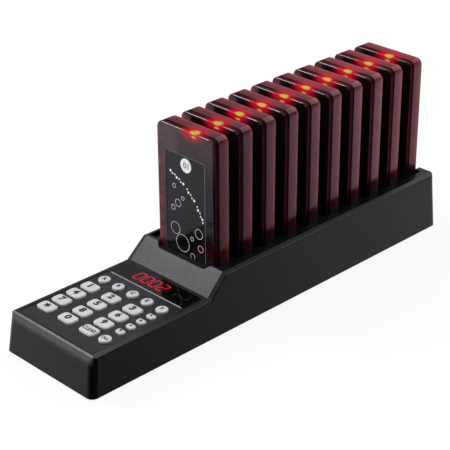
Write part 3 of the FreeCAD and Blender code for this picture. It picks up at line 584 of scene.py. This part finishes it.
# ---------------------------------------------------------------- what a user would change
class PagerSystemColours(bpy.types.PropertyGroup):
    """Colours of the pager system's finishes."""

    housing: FloatVectorProperty(name="Housing",
                                 description="Textured ABS of the base and its cover",
                                 subtype="COLOR", size=3, min=0, max=1, default=linear("#0b0b0c"))
    rack: FloatVectorProperty(name="Rack", description="Moulded floor of the pager tray",
                              subtype="COLOR", size=3, min=0, max=1, default=linear("#0a0a0a"))
    panel: FloatVectorProperty(name="Keypad panel", description="Printed film around the keys",
                               subtype="COLOR", size=3, min=0, max=1, default=linear("#0f0f10"))
    keycaps: FloatVectorProperty(name="Keycaps", description="Silicone rubber of the keys",
                                 subtype="COLOR", size=3, min=0, max=1, default=linear("#c4c8c8"))
    legends: FloatVectorProperty(name="Legends", description="Ink of the keys' figures and letters",
                                 subtype="COLOR", size=3, min=0, max=1, default=linear("#0c0c0c"))
    window: FloatVectorProperty(name="Window", description="Smoked acrylic over the display",
                                subtype="COLOR", size=3, min=0, max=1, default=linear("#020202"))
    digits: FloatVectorProperty(name="Lit digits", description="Light of the display's segments",
                                subtype="COLOR", size=3, min=0, max=1, default=linear("#e8102c"))
    pager: FloatVectorProperty(name="Pager", description="Smoked polycarbonate seen square on",
                               subtype="COLOR", size=3, min=0, max=1, default=linear("#0c0204"))
    pager_edge: FloatVectorProperty(name="Pager edge",
                                    description="The same where light gets through",
                                    subtype="COLOR", size=3, min=0, max=1,
                                    default=linear("#8b2831"))
    pager_haze: FloatVectorProperty(name="Pager haze",
                                    description="The same in the front wall's upper part",
                                    subtype="COLOR", size=3, min=0, max=1,
                                    default=linear("#4c383d"))
    pager_light: FloatVectorProperty(name="Pager light", description="Bloom of a pager's light",
                                     subtype="COLOR", size=3, min=0, max=1,
                                     default=linear("#c00f2c"))
    pager_hot: FloatVectorProperty(name="Pager hot spot", description="Middle of a pager's light",
                                   subtype="COLOR", size=3, min=0, max=1, default=linear("#bcb040"))
    label: FloatVectorProperty(name="Label", description="Black film of the pagers' labels",
                               subtype="COLOR", size=3, min=0, max=1, default=linear("#060607"))
    label_ink: FloatVectorProperty(name="Label ink",
                                   description="Pale ink of the labels' rings and disc",
                                   subtype="COLOR", size=3, min=0, max=1, default=linear("#f2f5f6"))


class PagerSystemSizes(bpy.types.PropertyGroup):
    """Sizes of what is printed and shown on the pager system."""

    figure_height: FloatProperty(name="Figure height", description="Height of a main key's figure",
                                 unit="LENGTH", subtype="DISTANCE", min=0.002, max=0.008,
                                 default=0.0056)
    letter_height: FloatProperty(name="Letter height", description="Height of a round key's letter",
                                 unit="LENGTH", subtype="DISTANCE", min=0.001, max=0.006,
                                 default=0.0033)
    ink_thickness: FloatProperty(name="Ink thickness",
                                 description="How far print stands above its surface",
                                 unit="LENGTH", subtype="DISTANCE", min=0.00001, max=0.0002,
                                 default=0.00004)
    digit_height: FloatProperty(name="Digit height", description="Height of a display digit",
                                unit="LENGTH", subtype="DISTANCE", min=0.005, max=0.013,
                                default=0.0103)
    shown_number: IntProperty(name="Shown number", description="Number on the display",
                              min=0, max=9999, default=2)


# ---------------------------------------------------------------- operators
class PagerSystemHousing(bpy.types.Operator):
    """Give the base housing, its cover, the rack and the small hardware their finishes"""

    bl_idname = "pager_system.dress_housing"
    bl_label = "Dress the base"

    # the top of the painted highlight on the front edge stands this much above the panel
    EDGE_ABOVE_PANEL = 0.3 * MM

    def execute(self, context):
        colours = context.scene.pager_system_colours
        # real grain is about 0.15 mm; it is drawn coarser so that it shows at this size
        textured = moulded_abs("Black ABS, spark-eroded", colours.housing, grain_mm=0.8,
                               relief_mm=0.07, roughness=0.34, skin=0.38,
                               highlight_top=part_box("keypad_panel")[1][2] + self.EDGE_ABOVE_PANEL)
        paint(textured, "top_housing", "bottom_cover")
        # the chamfer before the window gets a painted highlight in pale grey
        self.paint_highlight_line()
        plain = moulded_abs("Black ABS, plain moulded", colours.rack, grain_mm=0.9,
                            relief_mm=0.012, roughness=0.28, skin=0.9)
        paint(plain, "pager_rack", "dc_jack", "buzzer")
        rubber = moulded_silicone("Black rubber", linear("#161616"), roughness=0.75,
                                  softness_mm=0.05)
        paint(rubber, "rubber_feet")
        zinc = plated_metal("Zinc-plated steel", linear("#b9babd"), roughness=0.3)
        paint(zinc, "case_screws", "board_screws", "transmitter_module")
        gold = plated_metal("Gold-plated brass", linear("#d9b35a"), roughness=0.2)
        paint(gold, "charging_contacts")
        resist = solder_resist("Green solder resist", linear("#12562c"))
        paint(resist, "main_board", "charging_board")
        ferrite = moulded_abs("Sintered ferrite", linear("#2f2f33"), grain_mm=0.3,
                              relief_mm=0.02, roughness=0.7)
        paint(ferrite, "antenna")
        ribbon = printed_polyester("Grey flat cable", linear("#8d8f92"), roughness=0.4)
        paint(ribbon, "ribbon_cable")
        return {"FINISHED"}

    def paint_highlight_line(self):
        """The small chamfer between panel and window is painted pale grey: a painted highlight that
        shines as a thin line.
        """
        mesh = frame["nodes"]["top_housing"].data
        mesh.materials.append(moulded_abs("Black ABS, painted highlight", linear("#7c7d82"),
                                          grain_mm=0.8, relief_mm=0.01, roughness=0.25))
        slack = 0.3 * MM
        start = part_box("keypad_panel")[1][1] - slack
        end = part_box("display_window")[0][1]
        for polygon in mesh.polygons:
            sloping = polygon.normal.y < -0.5 and polygon.normal.z > 0.5
            if sloping and start < polygon.center.y < end:
                polygon.material_index = 1


class PagerSystemKeypad(bpy.types.Operator):
    """Finish the keypad panel and the keys, and print a legend on each key"""

    bl_idname = "pager_system.dress_keypad"
    bl_label = "Dress the keypad"

    # how far a legend stands behind and left of its key's middle
    SHIFT = (-0.5 * MM, 0.6 * MM)
    LETTER_SHIFT = (-0.4 * MM, 0.48 * MM)
    WORD_SHIFT = (0.0, 0.2 * MM)
    ARROW_SHIFT = (-0.3 * MM, 0.3 * MM)
    # stretch and weight of the figures and letters; height, stretch and weight of the words
    FIGURES, LETTERS = (1.14, 0.055), (1.1, 0.05)
    WORDS = {"clear": (3.6 * MM, 0.84, 0.03), "call": (2.5 * MM, 0.9, 0.04)}
    STAR_HALF_LENGTH, STAR_HALF_WIDTH = 2.6 * MM, 0.6 * MM
    DOT_RADIUS = 0.95 * MM
    ARROW = ((-1.6 * MM, -1.1 * MM), (1.6 * MM, -1.1 * MM), (0.0, 1.3 * MM))

    def execute(self, context):
        colours = context.scene.pager_system_colours
        sizes = context.scene.pager_system_sizes
        film = printed_polyester("Black polyester film", colours.panel, roughness=0.34)
        paint(film, "keypad_panel")
        mat = moulded_silicone("Grey silicone mat", linear("#8f918f"), roughness=0.6,
                               softness_mm=0.5)
        paint(mat, "keypad_mat")
        caps = moulded_silicone("Light grey silicone", colours.keycaps, roughness=0.42,
                                softness_mm=0.6)
        ink = screen_ink("Black legend ink", colours.legends, roughness=0.5)
        for key in KEYS:
            paint(caps, key)
            low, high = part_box(key)
            centre = ((low[0] + high[0]) / 2, (low[1] + high[1]) / 2)
            top = high[2]

            def on_top(u, v, height, centre=centre, top=top):
                return Vector((centre[0] + u, centre[1] + v, top + height))

            def legend(shape, key=key, on_top=on_top):
                self.print_legend(shape, key.removeprefix("key_"), on_top, sizes)

            new_piece(key + "_legend", legend, [ink], key)
        return {"FINISHED"}

    def print_legend(self, shape, name, on_top, sizes):
        """The mark of one key: a figure, a star, a word, a letter, or a sign on the small keys."""
        ink = sizes.ink_thickness
        if name.startswith("small"):
            self.print_sign(shape, int(name[-1]), on_top, ink)
            return
        if name == "star":
            for k in range(3):
                self.print_bar(shape, 90 + 60 * k, on_top, ink)
            return
        if name in self.WORDS:
            shift = self.WORD_SHIFT
            height, stretch, weight = self.WORDS[name]
        elif name.isdigit():
            shift, height = self.SHIFT, sizes.figure_height
            stretch, weight = self.FIGURES
        else:
            shift, height = self.LETTER_SHIFT, sizes.letter_height
            stretch, weight = self.LETTERS
        raise_text(shape, name.upper(), shift, height, on_top, ink,
                   stretch=stretch, weight=weight)

    def print_bar(self, shape, degrees, on_top, ink):
        """One straight bar of the star, turned about its middle."""
        cos, sin = math.cos(math.radians(degrees)), math.sin(math.radians(degrees))
        long, wide = self.STAR_HALF_LENGTH, self.STAR_HALF_WIDTH
        corners = ((-1, -1), (1, -1), (1, 1), (-1, 1))
        points = [(self.SHIFT[0] + a * long * cos - b * wide * sin,
                   self.SHIFT[1] + a * long * sin + b * wide * cos) for a, b in corners]
        raise_outline(shape, points, on_top, ink)

    def print_sign(self, shape, number, on_top, ink):
        """Arrow heads on the first and third small keys, and dots on the others."""
        if number % 2 == 0:
            points = disc_points(self.ARROW_SHIFT, self.DOT_RADIUS, 16)
        else:
            way = 1 if number == 3 else -1
            points = [(self.ARROW_SHIFT[0] + u, self.ARROW_SHIFT[1] + v * way)
                      for u, v in self.ARROW]
        raise_outline(shape, points, on_top, ink)


class PagerSystemDisplay(bpy.types.Operator):
    """Finish the window and light the display's digits under it"""

    bl_idname = "pager_system.dress_display"
    bl_label = "Light the display"

    SEGMENTS = {"0": "abcdef", "1": "bc", "2": "abged", "3": "abgcd", "4": "fgbc", "5": "afgcd",
                "6": "afgedc", "7": "abc", "8": "abcdefg", "9": "abcdfg"}
    SLANT = 0.12
    PITCH = 7.85 * MM
    HALF_WIDTH = 2.65 * MM
    # how far the outer bars' middle lines lie inside the digit's height
    INSET = 0.6 * MM
    # a bar's half thickness, the space at each of its ends, and how far it stands up
    THICK = 0.34 * MM
    GAP = 0.16 * MM
    RAISED = 0.06 * MM
    # acrylic lifts what is seen through it, so the digits stand inside the sheet
    LIFTED = 0.85 * MM
    SHIFT = (-0.35 * MM, 0.9 * MM)

    def execute(self, context):
        colours = context.scene.pager_system_colours
        sizes = context.scene.pager_system_sizes
        sheet = smoked_acrylic("Smoked acrylic", colours.window, see_through=0.2)
        paint(sheet, "display_window")
        face = printed_polyester("Black display face", linear("#080607"), roughness=0.5)
        paint(face, "display_module")
        low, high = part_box("display_module")
        middle = ((low[0] + high[0]) / 2, (low[1] + high[1]) / 2)
        lit = lit_segment("Lit red segment", colours.digits, strength=5.4)
        unlit = printed_polyester("Unlit segment", linear("#1a0708"), roughness=0.6)
        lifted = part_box("display_window")[0][2] + self.LIFTED

        def on_face(u, v, height):
            return Vector((middle[0] + self.SHIFT[0] + u, middle[1] + self.SHIFT[1] + v,
                           lifted + height))

        def digits(shape):
            text = "%04d" % sizes.shown_number
            for i, figure in enumerate(text):
                u = (i - (len(text) - 1) / 2) * self.PITCH
                for segment in "abcdefg":
                    shown = segment in self.SEGMENTS[figure]
                    self.add_segment(shape, segment, u, sizes.digit_height, on_face,
                                     0 if shown else 1)

        new_piece("display_digits", digits, [lit, unlit], BASE)
        return {"FINISHED"}

    def add_segment(self, shape, segment, u, height, place, material):
        """One six-sided bar of a seven-segment digit."""
        wide, thick, gap = self.HALF_WIDTH, self.THICK, self.GAP
        high = height / 2 - self.INSET
        ends = {"a": ((-wide, high), (wide, high)), "g": ((-wide, 0), (wide, 0)),
                "d": ((-wide, -high), (wide, -high)), "f": ((-wide, 0), (-wide, high)),
                "b": ((wide, 0), (wide, high)), "e": ((-wide, -high), (-wide, 0)),
                "c": ((wide, -high), (wide, 0))}
        (u0, v0), (u1, v1) = ends[segment]
        length = math.hypot(u1 - u0, v1 - v0)
        du, dv = (u1 - u0) / length, (v1 - v0) / length
        outline = ((gap, 0), (gap + thick, thick), (length - gap - thick, thick),
                   (length - gap, 0), (length - gap - thick, -thick), (gap + thick, -thick))
        flat = [(u + u0 + a * du - b * dv, v0 + a * dv + b * du) for a, b in outline]
        points = [(a + b * self.SLANT, b) for a, b in flat]
        raise_outline(shape, points, place, self.RAISED, material)


class PagerSystemPagers(bpy.types.Operator):
    """Finish the pagers' cases, light them, and give each its numbered label"""

    bl_idname = "pager_system.dress_pagers"
    bl_label = "Dress the pagers"

    # the film: how deep its face lies in the cover, and its thickness and outline
    DEPTH = 0.26 * MM
    FILM = 0.22 * MM
    FILM_HALF_WIDTH, FILM_CORNER = 19.05 * MM, 1.35 * MM
    FILM_BOTTOM, FILM_TOP = 5.55 * MM, 88.05 * MM
    DISC, DISC_RADIUS, NUMBER_HEIGHT = (0.4 * MM, 81.0 * MM), 5.2 * MM, 4.6 * MM
    # the dotted arc in three groups: its middle, reach and zigzag, first angle, step and dots
    ARC_MIDDLE, ARC_REACH, ARC_ZIGZAG = (-32.6 * MM, 21.4 * MM), 54.0, 0.4
    ARC_START, ARC_STEP, ARC_DOTS, ARC_SPACES = 71, 2.45, 20, (7, 13)
    SMALL_DOT, LARGE_DOT = 0.7 * MM, 1.0 * MM
    # each ring's place and radius in millimetres, and the width of their lines
    RINGS = ((-11.5, 62.5, 1.7), (-8.0, 50.5, 2.9), (-12.8, 45.8, 2.0), (-3.2, 55.5, 1.5),
             (12.2, 33.5, 3.8), (13.8, 22.5, 2.6), (-11.0, 30.5, 4.6), (-4.0, 21.0, 6.6),
             (5.5, 27.5, 1.6), (5.8, 14.0, 2.3))
    RING_LINE = 0.29
    # thin grey lines along the top and right edges: painted highlights where the film's edges catch
    # light
    TOP_EDGE_HIGHLIGHT = (18.7 * MM, 87.45 * MM, 87.7 * MM, 0.1 * MM)
    RIGHT_EDGE_HIGHLIGHT = ((18.45 * MM, 6.2 * MM), (18.7 * MM, 6.2 * MM), (18.7 * MM, 87.5 * MM),
                  (18.45 * MM, 87.5 * MM))

    def execute(self, context):
        colours = context.scene.pager_system_colours
        sizes = context.scene.pager_system_sizes
        case = smoked_polycarbonate("Smoked red polycarbonate", colours.pager,
                                    colours.pager_edge, colours.pager_haze,
                                    colours.pager_light, colours.pager_hot)
        works = solder_resist("Green solder resist, pager", linear("#12562c"))
        film = printed_polyester("Gloss black label film", colours.label, roughness=0.1)
        pale = screen_ink("Pale label ink", colours.label_ink, roughness=0.45)
        grey = screen_ink("Grey label ink", linear("#8a8d90"), roughness=0.45)
        for number, pager in enumerate(PAGERS, 1):
            paint(case, pager + "_case")
            paint(works, pager + "_works")
            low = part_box(pager + "_case")[0]

            def on_label(u, v, height, low=low):
                return Vector((u, low[1] + self.DEPTH - height, low[2] + v))

            def label(shape, number=number, on_label=on_label):
                self.make_label(shape, number, on_label, sizes.ink_thickness * 0.5)

            new_piece(pager + "_label", label, [film, pale, grey], pager)
        return {"FINISHED"}

    def make_label(self, shape, number, on_label, ink):
        """A black film with a number on a pale disc, a dotted arc under it and thin rings."""
        film, pale, grey = range(3)

        def under_print(u, v, height):
            return on_label(u, v, height - self.FILM)

        def on_disc(u, v, height):
            return on_label(u, v, ink + height)

        outline = rounded_rectangle(self.FILM_HALF_WIDTH, self.FILM_BOTTOM, self.FILM_TOP,
                                    self.FILM_CORNER)
        raise_outline(shape, outline, under_print, self.FILM, film)
        raise_outline(shape, disc_points(self.DISC, self.DISC_RADIUS, 48), on_label, ink, pale)
        raise_text(shape, "%02d" % number, self.DISC, self.NUMBER_HEIGHT, on_disc, ink, grey,
                   stretch=1.05, weight=0.035)
        for k in range(self.ARC_DOTS):
            if k in self.ARC_SPACES:
                continue
            angle = math.radians(self.ARC_START - self.ARC_STEP * k)
            reach = (self.ARC_REACH + self.ARC_ZIGZAG * (-1) ** k) * MM
            centre = (self.ARC_MIDDLE[0] + reach * math.cos(angle),
                      self.ARC_MIDDLE[1] + reach * math.sin(angle))
            size = self.SMALL_DOT if k % 3 else self.LARGE_DOT
            raise_outline(shape, disc_points(centre, size, 20), on_label, ink, pale)
        # painted highlights along the film's top and right edges, in grey ink
        raise_outline(shape, rounded_rectangle(*self.TOP_EDGE_HIGHLIGHT, 1), on_label, ink, grey)
        raise_outline(shape, self.RIGHT_EDGE_HIGHLIGHT, on_label, ink, grey)
        for u, v, radius in self.RINGS:
            raise_ring(shape, (u * MM, v * MM), radius * MM, (radius - self.RING_LINE) * MM,
                       on_label, ink, pale)


class PagerSystemStage(bpy.types.Operator):
    """Set up the floor, the lights and the camera"""

    bl_idname = "pager_system.set_stage"
    bl_label = "Set the stage"

    # headings and directions in the room, seen from the object
    DARK_SIDE, FAR_SIDE = (0.707, -0.707, 0.0), (-0.707, 0.707, 0.0)
    FRONT_LEFT = (-0.707, -0.707, 0.0)
    PANE, GLOW = (-0.64, -0.28, 0.72), (-0.64, -0.62, 0.45)
    # what the room's walls shine at each height, from straight down (-1) to the horizon and up
    WALLS = ((-1.0, 0.45), (-0.48, 0.6), (-0.38, 1.05), (0.0, 1.0), (0.25, 0.38))
    # the lens and its shift in pixels of a square picture this wide
    PICTURE, FOCAL, SHIFT, SENSOR = 450.0, 1474.2, (-1.971, -0.89), 36.0

    def execute(self, context):
        self.add_floor()
        self.set_world(context.scene)
        self.add_lamp("softbox_left", place=(-0.93, -0.45, 1.13), size=0.32, watts=6.5)
        self.add_lamp("softbox_overhead", place=(0.0, 0.55, 1.2), size=1.5, watts=9.5)
        self.add_lamp("small_lamp", place=(0.66, -0.43, 0.92), size=0.1, watts=0.6)
        self.add_camera(context.scene)
        context.scene.view_settings.view_transform = "Standard"
        return {"FINISHED"}

    def add_floor(self):
        """A pale floor that shows as white and keeps a little of the object's shadow."""
        material, tree = new_material("Pale floor")
        path = add_node(tree, "ShaderNodeLightPath")
        seen = path.outputs["Is Camera Ray"]
        for other in ("Is Glossy Ray", "Is Transmission Ray"):
            seen = add_node(tree, "ShaderNodeMath", (seen, path.outputs[other]),
                            operation="MAXIMUM")
        share = add_node(tree, "ShaderNodeMath", (seen, 0.9), operation="MULTIPLY")
        paper = add_node(tree, "ShaderNodeBsdfDiffuse", {"Color": opaque(linear("#f4f4f4"))})
        plain = add_node(tree, "ShaderNodeEmission", {"Color": (1, 1, 1, 1), "Strength": 1.0})
        mixed = add_node(tree, "ShaderNodeMixShader", (share, paper, plain))
        add_node(tree, "ShaderNodeOutputMaterial", {"Surface": mixed})
        mesh = bpy.data.meshes.new("floor")
        shape = bmesh.new()
        bmesh.ops.create_circle(shape, cap_ends=True, segments=96, radius=6.0)
        shape.to_mesh(mesh)
        shape.free()
        mesh.materials.append(material)
        floor = bpy.data.objects.new("floor", mesh)
        bpy.context.scene.collection.objects.link(floor)
        floor.visible_glossy = False

    def set_world(self, scene):
        """A studio, which shows as white behind the object.

        What the object mirrors is pale below the horizon and dimmer above it, dark on one side and
        low at the back, with a bright pane and a pale wall under it at the front left. Diffuse
        light comes from all round, and most from a glow at the front left.
        """
        world = bpy.data.worlds.new("studio")
        world.use_nodes = True
        tree = world.node_tree
        tree.nodes.clear()
        way = add_node(tree, "ShaderNodeTexCoord").outputs["Generated"]
        path = add_node(tree, "ShaderNodeLightPath")
        level = add_node(tree, "ShaderNodeVectorMath", (way, (1.0, 1.0, 0.0)),
                         operation="MULTIPLY")
        heading = add_node(tree, "ShaderNodeVectorMath", (level,), operation="NORMALIZE")
        height = add_node(tree, "ShaderNodeSeparateXYZ", (way,)).outputs["Z"]

        def facing(direction, target, low, high, start, end):
            """start far from the target, end near it; low and high are cosines."""
            near = add_node(tree, "ShaderNodeVectorMath", (direction, target),
                            operation="DOT_PRODUCT")
            return add_node(tree, "ShaderNodeMapRange",
                            (near.outputs["Value"], low, high, start, end),
                            interpolation_type="SMOOTHSTEP")

        share = add_node(tree, "ShaderNodeMapRange", (height, -1.0, 1.0, 0.0, 1.0))
        pale = add_node(tree, "ShaderNodeValToRGB", (share,),
                        [((at + 1) / 2, value) for at, value in self.WALLS])
        lit_side = facing(heading, self.DARK_SIDE, -0.3, 0.28, 1.0, 0.0)
        room = add_node(tree, "ShaderNodeMath", (pale, lit_side), operation="MULTIPLY")
        # low at the back it is dark too
        behind = facing(heading, self.FAR_SIDE, 0.55, 0.9, 0.0, 1.0)
        low = add_node(tree, "ShaderNodeMapRange", (height, 0.12, 0.34, 0.85, 0.0))
        shaded = add_node(tree, "ShaderNodeMath", (behind, low), operation="MULTIPLY")
        kept = add_node(tree, "ShaderNodeMath", (1.0, shaded), operation="SUBTRACT")
        dimmed = add_node(tree, "ShaderNodeMath", (room, kept), operation="MULTIPLY")
        # the bright pane, and the pale wall under it
        pane = facing(way, self.PANE, 0.93, 0.985, 0.0, 2.9)
        strip = facing(heading, self.FRONT_LEFT, 0.7, 0.95, 0.0, 0.7)
        under = add_node(tree, "ShaderNodeMapRange", (height, 0.28, 0.42, 1.0, 0.0))
        over = add_node(tree, "ShaderNodeMapRange", (height, -0.42, -0.12, 0.0, 1.0))
        for limit in (under, over):
            strip = add_node(tree, "ShaderNodeMath", (strip, limit), operation="MULTIPLY")
        lit = dimmed
        for light in (strip, pane):
            lit = add_node(tree, "ShaderNodeMath", (lit, light), operation="MAXIMUM")
        mirrored = add_node(tree, "ShaderNodeMath", (path.outputs["Is Glossy Ray"], lit),
                            operation="MULTIPLY")
        direct = add_node(tree, "ShaderNodeMath",
                          (path.outputs["Is Camera Ray"], path.outputs["Is Transmission Ray"]),
                          operation="MAXIMUM")
        fill = facing(heading, self.DARK_SIDE, -0.2, 0.7, 0.62, 0.15)
        glow = facing(way, self.GLOW, 0.6, 0.95, 0.0, 1.3)
        both = add_node(tree, "ShaderNodeMath", (fill, glow), operation="ADD")
        given = add_node(tree, "ShaderNodeMath", (path.outputs["Is Diffuse Ray"], both),
                         operation="MULTIPLY")
        strength = mirrored
        for light in (direct, given):
            strength = add_node(tree, "ShaderNodeMath", (strength, light), operation="MAXIMUM")
        # what the object mirrors has a faint violet cast
        cast = add_node(tree, "ShaderNodeMix",
                        {"Factor": path.outputs["Is Glossy Ray"], 6: (1, 1, 1, 1),
                         7: (1.0, 0.94, 1.06, 1.0)}, data_type="RGBA")
        sky = add_node(tree, "ShaderNodeBackground",
                       {"Color": cast.outputs[2], "Strength": strength})
        add_node(tree, "ShaderNodeOutputWorld", {"Surface": sky})
        scene.world = world

    def add_lamp(self, name, place, size, watts):
        """A square softbox aimed at the middle of the object."""
        lamp = bpy.data.lights.new(name, "AREA")
        lamp.shape = "SQUARE"
        lamp.size = size
        lamp.energy = watts
        holder = bpy.data.objects.new(name, lamp)
        holder.location = place
        aim = Vector((0.0, 0.0, 0.05)) - Vector(place)
        holder.rotation_euler = aim.to_track_quat("-Z", "Y").to_euler()
        bpy.context.scene.collection.objects.link(holder)

    def add_camera(self, scene):
        """A long lens from the front right, above."""
        azimuth, elevation = math.radians(45.387), math.radians(26.928)
        roll = math.radians(-0.281)
        distance = 1040.4 * MM
        target = Vector((0.0, -10.18, 51.56)) * MM
        back = Vector((math.sin(azimuth) * math.cos(elevation),
                       -math.cos(azimuth) * math.cos(elevation), math.sin(elevation)))
        level = Vector((math.cos(azimuth), math.sin(azimuth), 0.0))
        upward = back.cross(level)
        right = level * math.cos(roll) + upward * math.sin(roll)
        up = back.cross(right)
        lens = bpy.data.cameras.new("camera")
        lens.sensor_width = self.SENSOR
        lens.lens = self.SENSOR * self.FOCAL / self.PICTURE
        lens.shift_x = self.SHIFT[0] / self.PICTURE
        lens.shift_y = self.SHIFT[1] / self.PICTURE
        lens.clip_start = 0.01
        lens.clip_end = 30.0
        camera = bpy.data.objects.new("camera", lens)
        turn = Matrix((right, up, back)).transposed().to_4x4()
        camera.matrix_world = Matrix.Translation(target + back * distance) @ turn
        scene.collection.objects.link(camera)
        scene.camera = camera


class PagerSystemPanel(bpy.types.Panel):
    """Lists the steps that dress the pager system"""

    bl_idname = "VIEW3D_PT_pager_system"
    bl_label = "Guest pager system"
    bl_space_type = "VIEW_3D"
    bl_region_type = "UI"
    bl_category = "Pagers"

    def draw(self, context):
        for step in STEPS:
            self.layout.operator(step.bl_idname)
        for group in (context.scene.pager_system_colours, context.scene.pager_system_sizes):
            box = self.layout.box()
            for name in group.__annotations__:
                box.prop(group, name)


STEPS = (PagerSystemHousing, PagerSystemKeypad, PagerSystemDisplay, PagerSystemPagers,
         PagerSystemStage)
CLASSES = (PagerSystemColours, PagerSystemSizes) + STEPS + (PagerSystemPanel,)


def register():
    """Makes the groups, operators and panel known, and puts the groups on the scene."""
    for each in CLASSES:
        bpy.utils.register_class(each)
    bpy.types.Scene.pager_system_colours = PointerProperty(type=PagerSystemColours)
    bpy.types.Scene.pager_system_sizes = PointerProperty(type=PagerSystemSizes)


def unregister():
    """Takes all of it away again."""
    del bpy.types.Scene.pager_system_sizes
    del bpy.types.Scene.pager_system_colours
    for each in reversed(CLASSES):
        bpy.utils.unregister_class(each)


def main():
    """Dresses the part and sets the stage."""
    register()
    bpy.ops.pager_system.dress_housing()
    bpy.ops.pager_system.dress_keypad()
    bpy.ops.pager_system.dress_display()
    bpy.ops.pager_system.dress_pagers()
    bpy.ops.pager_system.set_stage()


if __name__ == "__main__":
    main()
